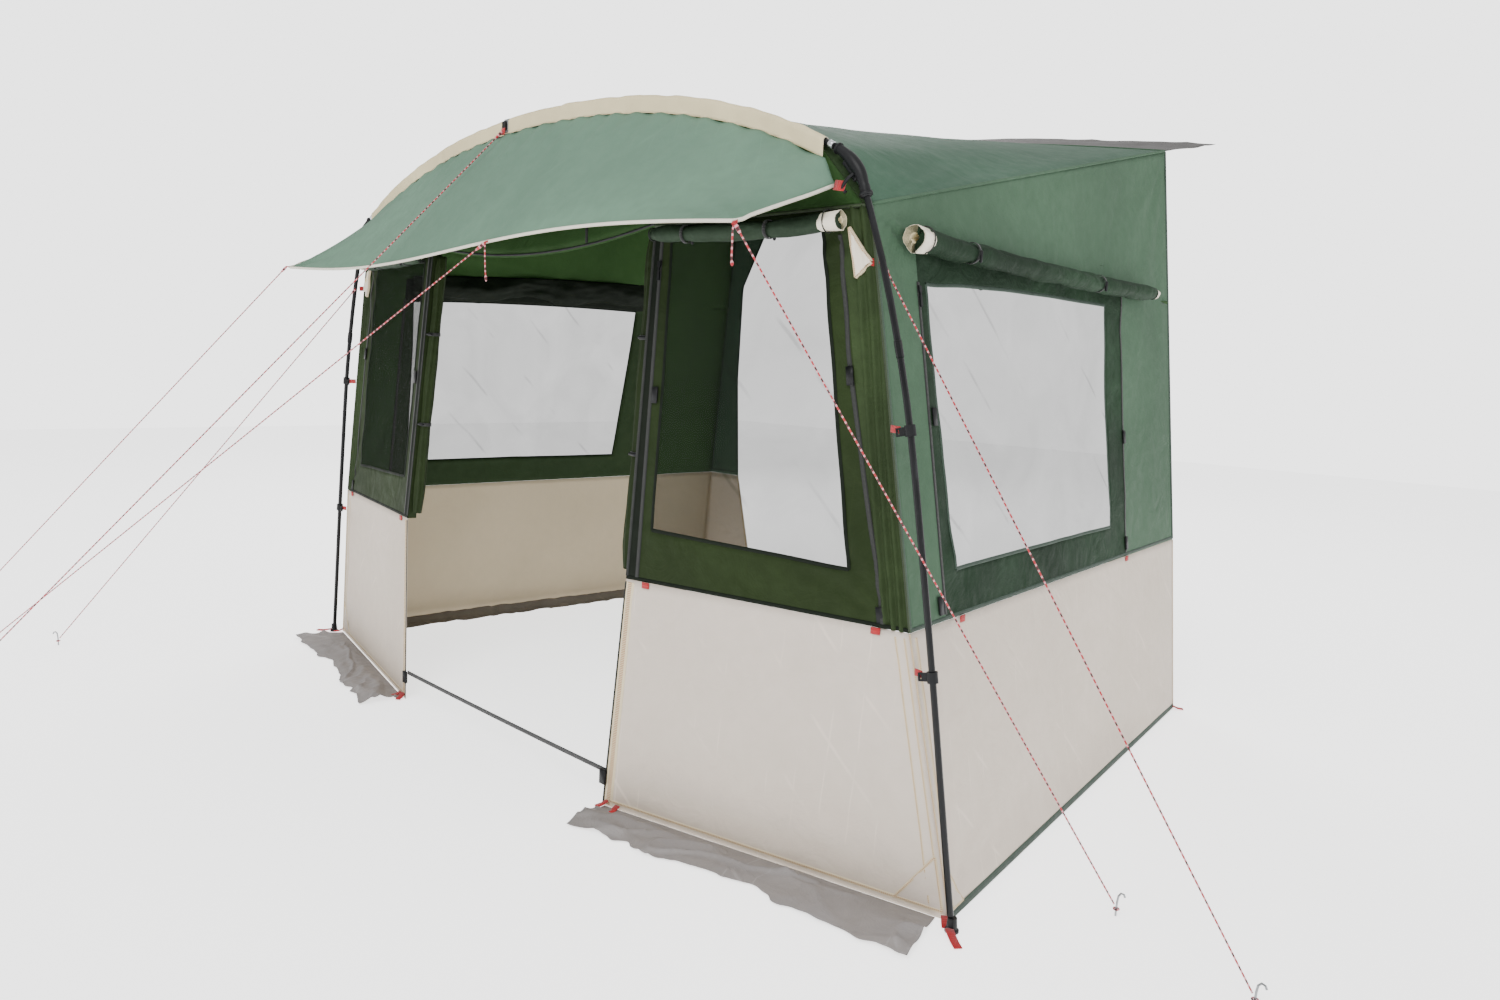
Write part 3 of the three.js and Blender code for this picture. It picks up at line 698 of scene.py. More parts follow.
# Heights of the seam above the skirts and of the walls' top corners, and the rear edge's place, in
# millimetres; then the walls' corners at the ground, at the seam and at the top
SEAM_Z, JAMB_TOP, CORNER_TOP, REAR_TOP = 669, 1641, 1656, 2146
REAR_X, REAR_Y = 1138, 2004
JAMB = [at(588, -194, 0), at(630, -161, SEAM_Z), at(606, -69, JAMB_TOP)]
CORNER = [at(1616, 30, 0), at(1475, -2, SEAM_Z), at(1286, 6, CORNER_TOP)]
REAR = [at(1362, 2030, 0), at(1300, 2022, SEAM_Z), at(REAR_X, REAR_Y, REAR_TOP)]
# Half widths in metres: the sleeve, the header's hem, the visor's lip, the rear edge and its opening
BAND_X, HEADER_X, VISOR_X, REAR_HALF, OPENING_X = 1.165, 1.268, 1.195, REAR_X / 1000, 0.862
POLE_Y = at(0, -20, 0)[1]


def arch_z(x):
    return 2.045 - 0.1263 * x ** 2 - 0.0304 * x ** 4


def rear_z(x):
    return 2.300 - 0.154 * (np.abs(x) / REAR_HALF) ** 1.3


# Roof: one sheet from the arch to the arched rear edge
front_edge = spline([at(x, 2, 1000 * arch_z(x / 1000) - 22) for x in (0, 300, 600, 900, 1150)]
                    + [at(1232, 3, 1722), at(1286, 4, CORNER_TOP)])


def roof_base(u, v):
    side = np.where(u < 0, -1.0, 1.0)
    front = front_edge(np.abs(u)) * stack(side, 1.0, 1.0)
    x = u * REAR_HALF
    rear = stack(x, at(0, REAR_Y, 0)[1], rear_z(x))
    p = mix(front, rear, v)
    p[..., 2] -= 0.046 * v * (1 - v) * (1 - u * u)
    return p


def roof_folds(u, v):
    x, y = u * 1.3, v * 2.05
    edge = smooth(np.minimum(1 - np.abs(u), np.minimum(v, 1 - v)) / 0.06)
    d = 0.006 * rough(x * 1.1, y * 0.9, 11) + 0.002 * ridges(x * 1.3 + y * 0.9, y * 0.6 - x * 0.3, 17)
    for side in (-1, 1):
        d = d + 0.004 * fan(1.3 - side * x, y, 22, 0.5, 0.12)
    return edge * d


roof = Surface(roof_base, 1, roof_folds)
sheet("roof_cloth", roof, *net(110, 80, (-0.9995, 0.9995), (0.0005, 0.999)),
      ROOF, GREEN_IN, "green_cloth", ["roof"])

# Cream sleeve over the arch pole
PROFILE = row((-12, -50), (-12, -8), (-6, -1), (0, 0), (6, -2), (11, -10), (21.6, -22)) / 1000


def band_base(u, v):
    rows = np.linspace(0, 1, len(PROFILE))
    x = u * BAND_X
    return stack(x, POLE_Y + np.interp(v, rows, PROFILE[:, 0]),
                 arch_z(x) + np.interp(v, rows, PROFILE[:, 1]))


def band_folds(u, v):
    x = u * BAND_X
    gather = ridges(x * 7.0 + 0.4 * noise(x * 3, v * 2, 5), v * 0.7 + x * 2.0, 21)
    low = smooth(1 - v * 3)
    return 0.0038 * gather * (0.4 + low) + 0.0018 * noise(x * 24, v * 2, 27)


band = Surface(band_base, -1, band_folds)
sheet("band_cloth", band, *np.meshgrid(span(-1, 1, 220), np.concatenate(
    [span(0, 1 / 6, 6), span(1 / 6, 1, 12)[1:]])), CREAM, CREAM_IN, "cream_cloth", ["arch_band"])


# Visor: from under the sleeve down to a lip that waves a little
def visor_base(u, v):
    side, size = np.sign(u), np.abs(u)
    x = side * np.minimum(size / 0.95, 1) * (BAND_X + 0.008)
    top = stack(x, POLE_Y - 0.013, arch_z(x) - 0.05)
    past = np.clip((size - 0.95) / 0.05, 0, 1)
    tab = at(1213, -36, 1700)
    top = mix(top, stack(side * tab[0], tab[1], tab[2]), past)
    lip_y = at(0, -346, 0)[1]
    lip = stack(u * VISOR_X, lip_y, 1.575 + 0.028 * np.sin(pi * u * VISOR_X / 1.25))
    p = mix(top, lip, v)
    p[..., 2] += 0.06 * v * (1 - v) * (1 - u * u)
    return p


def visor_folds(u, v):
    x = u * 1.19
    gather = np.sin(x * 70 + 2.5 * noise(x * 5, v, 3)) * smooth(1 - v * 2.0) * 0.0034
    sag = 0.006 * rough(x * 1.4, v * 0.7, 31) * smooth(v * 3) * smooth((1 - v) * 4)
    corner = 0.0
    for side in (-1, 1):
        corner = corner + 0.007 * fan(VISOR_X - side * x, (1 - v) * 0.45, 13, 0.3, 0.06)
    return gather + sag + corner * smooth((1 - v) * 8)


visor = Surface(visor_base, -1, visor_folds)
visor_columns = np.concatenate([span(-1, -0.95, 4), span(-0.95, 0.95, 150)[1:-1], span(0.95, 1, 4)])
sheet("visor_cloth", visor, *np.meshgrid(visor_columns, span(0, 1, 36)), SAGE, SAGE_IN,
      "sage_cloth", ["visor"])


# ---- Walls ------------------------------------------------------------------------------------


def cells(us, vs, counts_u, counts_v):
    """Bilinear grids of u and v through a table of wall lines, and each cell's line numbers."""
    us, vs = np.array(us, float), np.array(vs, float)
    a = np.concatenate([[0], *[k + span(0, 1, n)[1:] for k, n in enumerate(counts_u)]])
    b = np.concatenate([[0], *[k + span(0, 1, n)[1:] for k, n in enumerate(counts_v)]])
    i = np.minimum(a.astype(int), len(counts_u) - 1)
    j = np.minimum(b.astype(int), len(counts_v) - 1)
    fa, fb = (a - i)[None], (b - j)[:, None]
    grids = []
    for table in (us, vs):
        low = table[j][:, i] * (1 - fa) + table[j][:, i + 1] * fa
        high = table[j + 1][:, i] * (1 - fa) + table[j + 1][:, i + 1] * fa
        grids.append(low * (1 - fb) + high * fb)
    return (*grids, i[:-1][None] + 0 * j[:-1][:, None], j[:-1][:, None] + 0 * i[:-1][None])


SIDE_U = [[0.0013, 0.088, 0.122, 0.664, 0.735, 0.9997], [0.0013, 0.088, 0.122, 0.664, 0.738, 0.9997],
          [0.0013, 0.088, 0.107, 0.69, 0.758, 0.9997], [0.0013, 0.088, 0.107, 0.69, 0.758, 0.9997],
          [0.0003, 0.088, 0.107, 0.69, 0.758, 0.9999]]
SIDE_V = [[0.0003] * 6, [0.112, 0.112, 0.112, 0.088, 0.088, 0.088],
          [0.79, 0.79, 0.79, 0.645, 0.64, 0.62], [0.91, 0.885, 0.878, 0.697, 0.676, 0.61],
          [0.9999] * 6]
FRONT_U = [[0, 0.053, 0.098, 0.824, 0.922, 0.9994], [0, 0.053, 0.098, 0.824, 0.91, 0.9994],
           [0, 0.053, 0.093, 0.8, 0.87, 0.9994], [0, 0.053, 0.093, 0.8, 0.87, 0.9994]]
FRONT_V = [[0.0003] * 6, [0.15, 0.15, 0.15, 0.128, 0.125, 0.12], [0.955] * 6, [0.9997] * 6]


def calm(shape, line, half):
    """Folds that die out along a zip, so that its slider runs flat."""
    return lambda u, v: shape(u, v) * (1 - np.exp(-((u - line) / half) ** 4))


def window(wall, us, vs, counts, node, name):
    """Mesh in the opening of a wall, between the wall's own lines."""
    u, v, *_ = cells([us[1][2:4], us[2][2:4]], [vs[1][2:4], vs[2][2:4]], *counts)
    sheet(name, wall, u, v, NET, NET, "mesh_cloth", [node], thick=0.0006)


walls = {}
for label, side in SIDES:
    side_wall = Surface(quad(CORNER[1], REAR[1], REAR[2], CORNER[2], side), side,
                        calm(folds(2.0, 1.25, 40 + side, soft=0.006, bow=0.010, sharp=0.003,
                                   pulls=[(0, 1, 0.009, 18), (1, 1, 0.006, 14),
                                          (0, 0, 0.004, 12)]), 0.088, 0.02))
    u, v, i, j = cells(SIDE_U, SIDE_V, [8, 4, 44, 6, 20], [8, 50, 8, 24])
    opening = (i == 2) & (j == 1)
    framed = (i >= 1) & (i <= 3)
    # Slot 2, the band from the window's top up to the rolled blind, is very dark green on its inner
    # face: painted shadow of the roll seen through the wall.
    shade = np.select([framed & (j <= 1), framed & (j == 2)], [1, 2], 0)
    sheet(f"side_wall_cloth_{label}", side_wall, u, v, [GREEN, DARK, DARK],
          [GREEN_IN, OLIVE_IN, DEEP], "green_cloth", [f"side_wall_{label}"], keep=~opening,
          slots=shade)
    window(side_wall, SIDE_U, SIDE_V, ([36], [40]), f"side_mesh_{label}", f"side_window_{label}")

    flat_part = folds(0.85, 1.0, 50 + side, soft=0.004, bow=0.004,
                      pulls=[(1, 1.02, 0.005, 20), (1, 0, 0.004, 18)])

    def pleated(u, v, flat_part=flat_part):
        across = (u - 0.89) * 850 * (1.25 - 0.5 * v)
        pleat = np.sin(across / 4.2 + 1.6 * noise(v * 2.6, u * 5, 57) + 2.4 * v)
        return flat_part(u, v) + 0.0045 * pleat * smooth((u - 0.9) / 0.02) * smooth((1 - u) / 0.012)
    front_wall = Surface(quad(JAMB[1], CORNER[1], CORNER[2], JAMB[2], side), side,
                         calm(pleated, 0.045, 0.035))
    u, v, i, j = cells(FRONT_U, FRONT_V, [4, 4, 30, 5, 26], [8, 44, 4])
    opening = (i == 2) & (j == 1)
    # Slot 2 is the gusset, in the darker copy of the green cloth that paints its shade.
    shade = np.select([i == 0, i == 4], [1, 2], 0)
    sheet(f"front_wall_cloth_{label}", front_wall, u, v, [OLIVE, DEEP, GUSSET_PAINTED_SHADE],
          [OLIVE_IN, DEEP, GREEN_IN], "olive_cloth", [f"front_wall_{label}"], keep=~opening,
          slots=shade)
    window(front_wall, FRONT_U, FRONT_V, ([24], [36]), f"front_mesh_{label}", f"front_window_{label}")

    side_skirt = Surface(quad(CORNER[0], REAR[0], REAR[1], CORNER[1], side), side,
                         folds(2.0, 0.68, 60 + side, soft=0.006, sharp=0.003,
                               pulls=[(0, 0, 0.004, 14), (1, 0, 0.003, 12)]))
    sheet(f"side_skirt_cloth_{label}", side_skirt, *net(80, 28, (0.0013, 0.9997), (0.0008, 0.9997)),
          BEIGE, BEIGE_IN, "beige_cloth", [f"side_skirt_{label}"])
    front_skirt = Surface(quad(JAMB[0], CORNER[0], CORNER[1], JAMB[1], side), side,
                          folds(1.0, 0.68, 70 + side, soft=0.005, sharp=0.0036,
                                pulls=[(1, 0, 0.004, 14), (1, 1, 0.003, 16)]))
    sheet(f"front_skirt_cloth_{label}", front_skirt, *net(44, 28, (0, 0.9994), (0.0008, 0.9997)),
          BEIGE, BEIGE_IN, "beige_cloth", [f"front_skirt_{label}"])
    walls[label] = (side_wall, front_wall, side_skirt, front_skirt)


# Dark crumpled sheet inside above each side window: painted shadow of the rolled blind seen through
# the wall
for label, side in SIDES:
    side_wall = walls[label][0]

    def shadow_sheet_shape(u, v, wall=side_wall):
        drop = 0.014 * rough(u * 5, 0 * u, 181)
        high = 0.892 - 0.162 * u
        inside = 0.008 + 0.022 * np.sin(pi * np.clip(v, 0, 1)) + 0.008 * rough(u * 9, v * 2, 185)
        return wall(0.1 + 0.65 * u, high - (0.086 + drop) * (1 - v), -np.abs(inside))
    hung = Surface(shadow_sheet_shape, -side, lambda u, v: 0.006 * ridges(u * 7 + v, v * 2.4, 187))
    sheet(f"blind_shadow_sheet_{label}", hung, *net(90, 16), DEEP, DARK, "green_cloth", held="hung")

# Piping down the corners
piping = Kit()
for label, side in SIDES:
    flip = mirror(side)
    for posts, slots in ((CORNER, (1, 0)), (REAR, (2, 0))):
        for k, slot in ((1, slots[0]), (0, slots[1])):
            line = mix(posts[k], posts[k + 1], span(0.002, 0.998, 16)) * flip
            piping.tube(line, 0.0026 if k else 0.0022, 8, across=(0, 1, 0), slot=slot)
    eave = mix(CORNER[2], REAR[2], span(0.001, 0.995, 40)) * flip
    piping.tube(eave + row(0, 0, 0.001), 0.0045, 8, slot=3)
    brow = mix(JAMB[2], CORNER[2], span(0, 1, 20)) * flip
    piping.tube(brow, 0.0045, 8, slot=1)
rear_edge = roof_base(span(-0.995, 0.995, 70), np.ones(71))
piping.tube(rear_edge + row(0, 0.0012, 0.0006), 0.0042, 8, slot=3)
piping.build("corner_piping", [PALE_SEAM, OLIVE_PIPING, GREEN_PIPING, GREEN], slot="green_piping")


# Cloth over the doorway, hanging from the arch to its sagging hem
def header_base(u, v):
    size, side = np.abs(u) * HEADER_X, np.sign(u)
    jamb, corner = JAMB[2], CORNER[2]
    past = np.clip((size - jamb[0]) / (corner[0] - jamb[0]), 0, 1)
    sag = 0.055 * np.clip(1 - (size / jamb[0]) ** 2, 0, 1)
    low = stack(side * size, jamb[1] + (corner[1] - jamb[1]) * past,
                jamb[2] + (corner[2] - jamb[2]) * past - sag)
    x = u * 1.14
    high = stack(x, POLE_Y, arch_z(x) - 0.025)
    return mix(low, high, v)


def header_folds(u, v):
    x = u * HEADER_X
    edge = smooth(v / 0.1) * smooth((1 - v) / 0.1) * smooth((1 - np.abs(u)) / 0.05)
    return edge * (0.006 * rough(x * 2, v, 81) + 0.002 * np.sin(x * 30 + 2 * noise(x * 3, v * 2, 82)))


header = Surface(header_base, 1, header_folds)

# Small cloth corner between the header's end and the roof's front edge
for label, side in SIDES:
    def corner_base(u, v, side=side):
        low, high = header_base(side + 0 * u, 0 * u), header_base(side + 0 * u, 1 + 0 * u)
        outer = front_edge(1 - u / 3) * mirror(side) - row(0, 0, 0.001)
        return mix(mix(low, high, u), outer, v)
    filled = Surface(corner_base, side, folds(0.25, 0.05, 190 + side, soft=0.001, sharp=0.0))
    sheet(f"header_corner_{label}", filled, *net(20, 5), OLIVE,
          OLIVE_IN, "olive_cloth", held="stretched")
sheet("header_cloth", header, *net(100, 14, (-1, 1), (0.0015, 1)), HEADER_PAINTED_LIGHT, OLIVE_IN,
      "olive_cloth", ["front_header"], held="hung")


# ---- Rear -------------------------------------------------------------------------------------

RETURN_Z = row(669.4, 1200, 1690, 1935, 2080)
RETURN_X = row(1085, 1110, 1090, 950, 1000 * OPENING_X)


def return_base(side):
    def base(u, v):
        stops = np.linspace(0, 1, 6)
        z = np.interp(v, stops, [*RETURN_Z, REAR_TOP]) / 1000
        inner = np.interp(v, stops, [*RETURN_X, RETURN_X[-1]]) / 1000
        outer = mix(REAR[1], REAR[2], (1000 * z - SEAM_Z) / (REAR_TOP - SEAM_Z))
        top = np.clip((v - 0.8) / 0.2, 0, 1)
        edge_z = z + top * u * (rear_z(OPENING_X) - 0.0032 - z)
        x = (outer[..., 0] - 0.0023) * (1 - u) + inner * u
        return stack(side * x, outer[..., 1] - 0.0004, edge_z)
    return base


rear_pieces = {}
for label, side in SIDES:
    rear_wall = Surface(return_base(side), -side, folds(0.35, 1.45, 90 + side, soft=0.004))
    rear_pieces[label] = rear_wall
    sheet(f"rear_wall_cloth_{label}", rear_wall, *net(14, 50), GREEN,
          GREEN_IN, "green_cloth", [f"rear_wall_{label}"])
    outer_low, outer_high = REAR[0] - row(0.0023, 0, 0), REAR[1] - row(0.0023, 0, 0)
    inner_low = row(0.930, REAR[0][1], 0)
    inner_high = row(1.085, REAR[1][1], REAR[1][2])
    rear_skirt = Surface(quad(outer_low, inner_low, inner_high, outer_high, side), -side,
                         folds(0.4, 0.67, 95 + side, soft=0.004))
    sheet(f"rear_skirt_cloth_{label}", rear_skirt, *net(14, 20, v=(0.0008, 0.9995)), BEIGE, BEIGE_IN,
          "beige_cloth", [f"rear_skirt_{label}"])
    rear_pieces[f"skirt_{label}"] = rear_skirt


def rear_header_base(u, v):
    x = u * 0.8617
    low, high = 2.08, rear_z(x) - 0.0032
    return stack(x, REAR[2][1] - 0.0004, low + (high - low) * v)


rear_header = Surface(rear_header_base, -1, folds(1.7, 0.2, 99, soft=0.003, sharp=0.001))
sheet("rear_header_cloth", rear_header, *net(60, 8, (-1, 1)), GREEN,
      GREEN_IN, "green_cloth", ["rear_header"])


def strip_base(u, v):
    z = rear_z(u * REAR_HALF)
    near = stack(u * REAR_HALF, REAR[2][1] + 0.0004, z + 0.0005)
    far = stack(u * 1.232, at(0, 2250, 0)[1], z + 0.062)
    return mix(near, far, v)


def strip_folds(u, v):
    x = u * 1.2
    return smooth(v * 3) * (0.006 * rough(x * 3, v * 1.2, 101) + 0.003 * ridges(x * 5, v * 2, 103))


strip = Surface(strip_base, 1, strip_folds)
sheet("rear_strip_cloth", strip, *net(110, 14, (-1, 1)), STRIP_GREY, GREY_IN,
      "grey_cloth", ["rear_strip"])


# ---- Rolled blinds ----------------------------------------------------------------------------


def rolled(name, start, end, radius, height, ties, cuffs, cloths, replaces, seed, side):
    """Blind rolled into a spiral along a line, drawn in where its toggles hold it."""
    way = unit(end - start)
    length = float(np.linalg.norm(end - start))
    up = unit(np.cross(row(0, side, 0) if abs(way[0]) > 0.8 else row(side, 0, 0), way))
    out = np.cross(way, up)
    core = 0.36
    turns = height / (pi * radius * (1 + core))
    wind = span(0, 1, int(turns * 18))
    t = span(0, 1, int(length / 0.026))
    s, t = np.meshgrid(wind, t)
    turn = 2 * pi * turns * s + 0.9
    round_x, round_y = 0.9 * np.cos(turn), 0.9 * np.sin(turn)
    size = radius * (0.98 + 0.13 * rough(t * length * 6 + round_x, round_y, seed))
    size = size * (1 - 0.2 * ridges(t * length * 4 + round_x, round_y + t * length * 1.5, seed + 1))
    for tie in ties:
        size = size * (1 - 0.2 * np.exp(-((t - tie) * length / 0.03) ** 2))
    size = size * (1 + 0.09 * np.exp(-t * length / 0.05)) * (1 - 0.4 * smooth((t - 0.93) / 0.07))
    size = size * (1 - (1 - core) * s)
    droop = -0.010 * np.sin(pi * t)
    p = (mix(start, end, t) + up * (np.cos(turn) * size)[..., None]
         + out * (np.sin(turn) * size)[..., None] + row(0, 0, 1) * droop[..., None])
    edge = (t[:-1, :-1] * length < cuffs[0]) | ((1 - t[:-1, :-1]) * length < cuffs[1])
    edge = edge & (s[:-1, :-1] * turns < 1.3)
    kit = Kit().grid(p, slots=np.where(edge, 1, 0), outward=1)
    piece = kit.build(name, [*cloths, CREAM_IN], slot="olive_cloth", replaces=replaces)
    thicken(piece, 0.0006, 2)

    fittings = Kit()
    for tie in ties:
        middle = mix(start, end, tie) - row(0, 0, 0.010 * sin(pi * tie))
        r = radius * 0.84 + 0.0015
        fittings.strap(hoop(middle, up * r, out * r), 0.010, 0.0014, way, slot=0)
        face = unit(out * 0.9 - up * 0.3)
        fittings.toggle(middle + face * (r + 0.003), up, way, 0.016)
    for place in (cuffs[0] / length, 1 - cuffs[1] / length):
        middle = mix(start, end, place)
        r = radius * (1.06 if place < 0.5 else 0.66)
        fittings.tube(hoop(middle, up * r, out * r), 0.0017, 8, across=way, slot=2)
    fittings.build(f"{name}_ties", [BLACK_TAPE, PLASTIC, BLACK_PIPING], slot="black_webbing")


for label, side in SIDES:
    flip = mirror(side)
    rolled(f"side_blind_cloth_{label}", at(1336, 120, 1590) * flip, at(1254, 1752, 1588) * flip,
           0.0305, 1.12, (0.17, 0.68), (0.042, 0.03), [DARK, CREAM], [f"side_blind_{label}"],
           110 + side, side)
    rolled(f"front_blind_cloth_{label}", at(1236, -38, 1618) * flip, at(640, -105, 1612) * flip,
           0.0255, 0.93, (0.35, 0.8), (0.036, 0.0), [FRONT_ROLL, CREAM], [f"front_blind_{label}"],
           120 + side, side)


# ---- Door rolls, strap and mud flaps ----------------------------------------------------------

for label, side in SIDES:
    z = span(690, 1615, 60)
    stops = [690, 760, 1000, 1200, 1400, 1560, 1615]
    wide = np.interp(z, stops, [18, 31, 25, 30, 26, 31, 27]) / 1000
    deep = np.interp(z, stops, [15, 19, 16, 19, 16, 19, 14]) / 1000
    middle = mix(JAMB[1], JAMB[2], (z - SEAM_Z) / (JAMB_TOP - SEAM_Z)) + row(-0.020, 0.024, 0)
    middle = middle * mirror(side)
    turn = np.linspace(0, 2 * pi, 56, endpoint=False)
    pleat = 1 - 0.2 * np.abs(np.sin(3.5 * turn[None] + 0.5 * np.sin(z[:, None] / 130)))
    pleat = pleat * (1 + 0.05 * noise(turn[None] * 3, z[:, None] / 60, 130 + side))
    section = stack(np.cos(turn) * wide[:, None] * pleat, np.sin(turn) * deep[:, None] * pleat)
    piece = Kit().sweep(middle, section, (1, 0, 0)).build(
        f"door_bundle_{label}", [OLIVE], slot="olive_cloth", replaces=[f"door_roll_{label}"])
    ties = Kit()
    for height in (1010, 1330):
        k = int(np.argmin(np.abs(z - height)))
        loop = hoop(middle[k], row(wide[k] + 0.001, 0, 0), row(0, deep[k] + 0.001, 0))
        ties.strap(loop, 0.012, 0.0015, (0, 0, 1), slot=0)
        knob = middle[k] - row(0, deep[k] + 0.004, 0)
        ties.toggle(knob, row(1, 0, 0), (0, 0, 1), 0.018)
    ties.build(f"door_ties_{label}", [BLACK_TAPE, PLASTIC], slot="black_webbing")

x = span(-0.592, 0.592, 40)
strap_line = stack(x, at(0, -183, 0)[1], 0.1 - 0.003 * (1 - (x / 0.592) ** 2))
Kit().strap(strap_line, 0.015, 0.0016, (0, 0, 1)).build(
    "threshold_webbing", [BLACK_TAPE], slot="black_webbing", replaces=["threshold_strap"])

FLAP_NEAR = [(600, -194.2), (1585, 20.7)]
FLAP_FAR = [(628, -344), (860, -296), (1040, -244), (1310, -206), (1640, -172)]


def flap_base(side):
    near = np.array([at(x, y, 2) for x, y in FLAP_NEAR])
    far = np.array([at(x, y, 2) for x, y in FLAP_FAR])

    def base(u, v):
        u = np.clip(u, 0, 1)
        stops = np.linspace(0, 1, len(far))
        out = stack(*[np.interp(u, stops, far[:, k]) for k in range(3)])
        back = mix(near[0], near[1], u)
        ragged = 0.017 * rough(u * 11, 0 * u, 141) * (1 - v)
        p = mix(out, back, v)
        p[..., 1] += ragged
        return p * mirror(side)
    return base


def flap_folds(u, v):
    x, y = u * 1.05, v * 0.16
    crumple = 0.5 + 0.5 * rough(x * 9, y * 11, 151) * 0.57
    sharp = ridges(x * 7 + y * 9, y * 8 - x * 3, 153) + ridges(x * 5 - y * 12, y * 6, 157)
    lift = 0.013 * np.clip(crumple, 0, 1) + 0.014 * sharp
    return 0.0016 + lift * smooth((1 - v) * 2.2) * (0.35 + 0.65 * smooth(v * 5))


for label, side in SIDES:
    flap = Surface(flap_base(side), side, flap_folds)
    sheet(f"mud_flap_cloth_{label}", flap, *net(130, 28, (0.002, 0.998), (0, 0.98)),
          GREY, GREY_IN, "grey_cloth", [f"mud_flap_{label}"], body=f"mud_flap_{label}", held="laid",
          thick=0.0009)


# Return folds at the doorway's edges, behind which the door cloth is gathered
for label, side in SIDES:
    back = row(-0.006, 0.030, 0)
    turned = Surface(quad(JAMB[1] + back, JAMB[1], JAMB[2], JAMB[2] + back, side), side,
                     folds(0.05, 1.0, 170 + side, soft=0.002, sharp=0.001))
    sheet(f"jamb_fold_{label}", turned, *net(6, 40), OLIVE, OLIVE_IN, "olive_cloth", held="hung")


# Flap turned in under each side skirt; its upper face takes the darker inside grey as painted shade
for label, side in SIDES:
    a, b = CORNER[0] + row(-0.03, 0.06, 0), REAR[0] + row(-0.012, -0.03, 0)
    inward = row(-0.085, 0, 0)
    base = quad(a + inward, b + inward * 0.8, b, a, side)
    turned = Surface(base, -side, lambda u, v: 0.003 + 0.006 * np.abs(rough(u * 22, v * 1.4, 161))
                     + 0.03 * smooth(v) * v)
    sheet(f"side_flap_{label}", turned, *net(110, 10), GREY_IN,
          GREY, "grey_cloth", held="laid", thick=0.0009)


# ---- Seams, zips, piping and tabs -------------------------------------------------------------

trim = Kit()
TRIM = {"zip": ZIP, "black": BLACK_PIPING, "green": GREEN_PIPING, "seam": SEAM, "pale": PALE_SEAM,
        "deep": DEEP}


def sew(surface, kind, width, lift, *line):
    """Trim on a surface along (u, v) points, its width and lift given in millimetres."""
    trim.ribbon(surface, line, width / 1000, lift / 1000, slot=list(TRIM).index(kind))


for label, side in SIDES:
    side_wall, front_wall, side_skirt, front_skirt = walls[label]
    zips = [
        (side_wall, [(0.088, 0.80), (0.088, 0.015)]),
        (side_wall, [(0.758, 0.66), (0.75, 0.4), (0.735, 0.01)]),
        (front_wall, [(0.045, 0.99), (0.045, 0.01)]),
        (front_wall, [(0.87, 0.935), (0.869, 0.657), (0.922, 0.01)]),
    ]
    for wall, line in zips:
        sew(wall, "zip", 13, 1.8, *line)
        sew(wall, "zip", 13, -2.8, *line)
    # Window hems
    for wall, us, vs in ((side_wall, SIDE_U, SIDE_V), (front_wall, FRONT_U, FRONT_V)):
        frame_line = [(us[1][2], vs[1][2]), (us[1][3], vs[1][3]), (us[2][3], vs[2][3]),
                      (us[2][2], vs[2][2]), (us[1][2], vs[1][2])]
        for a, b in zip(frame_line, frame_line[1:]):
            sew(wall, "green" if wall is side_wall else "deep", 10, 1.3, a, b)
    # Seams between the wall panels, and along the eave
    sew(side_wall, "seam", 12, 1.4, (0.003, 0.997), (0.003, 0.003))
    sew(side_wall, "green", 10, 1.5, (0.996, 0.99), (0.996, 0.003))
    sew(side_wall, "green", 10, 1.4, (0.003, 0.006), (0.997, 0.006))
    sew(front_wall, "deep", 10, 1.4, (0.003, 0.006), (0.997, 0.006))
    sew(front_wall, "black", 10, 1.6, (0.004, 0.99), (0.004, 0.01))
    sew(front_skirt, "pale", 30, 1.2, (0.020, 0.99), (0.020, 0.01))
    sew(front_skirt, "black", 6, 2.4, (0.003, 0.99), (0.003, 0.01))
    sew(side_skirt, "pale", 12, 1.6, (0.012, 0.98), (0.012, 0.02))
    sew(front_skirt, "pale", 6, 1, (0.955, 0.98), (0.955, 0.02))
    sew(front_skirt, "pale", 6, 1, (0.982, 0.98), (0.982, 0.02))
    sew(side_skirt, "green", 20, 2, (0.003, 0.016), (0.997, 0.016))
    sew(front_skirt, "pale", 10, 1.4, (0.012, 0.028), (0.985, 0.028))
    rear_wall, rear_skirt = rear_pieces[label], rear_pieces[f"skirt_{label}"]
    sew(rear_wall, "green", 12, 1.6, (0.97, 0.01), (0.97, 0.8))
    sew(rear_skirt, "pale", 12, 1.6, (0.97, 0.02), (0.97, 0.98))
    sew(rear_skirt, "green", 18, 2, (0.02, 0.02), (0.97, 0.02))
    sew(rear_wall, "seam", 10, 1.6, (0.02, 0.006), (0.98, 0.006))
jamb_share = JAMB[2][0] / HEADER_X
sew(header, "black", 7, 2, *[(x, 0.02) for x in span(-jamb_share, jamb_share, 12)])
sew(header, "black", 10, -3, *[(x, 0.02) for x in span(-jamb_share, jamb_share, 12)])
sew(header, "black", 12, 2.4, (0.235, 0.03), (0.235, 0.3))
sew(band, "seam", 5, 1, *[(x, 0.42) for x in span(-0.995, 0.995, 60)])
sew(rear_header, "green", 14, 1.6, (-0.995, 0.08), (0.995, 0.08))
sew(strip, "seam", 12, 1.6, (-0.995, 0.04), (0.995, 0.04))
sew(band, "pale", 6, 1.4, *[(x, 0.012) for x in span(-0.995, 0.995, 30)])
trim.build("seams_and_zips", TRIM.values(), slot="dark_thread")

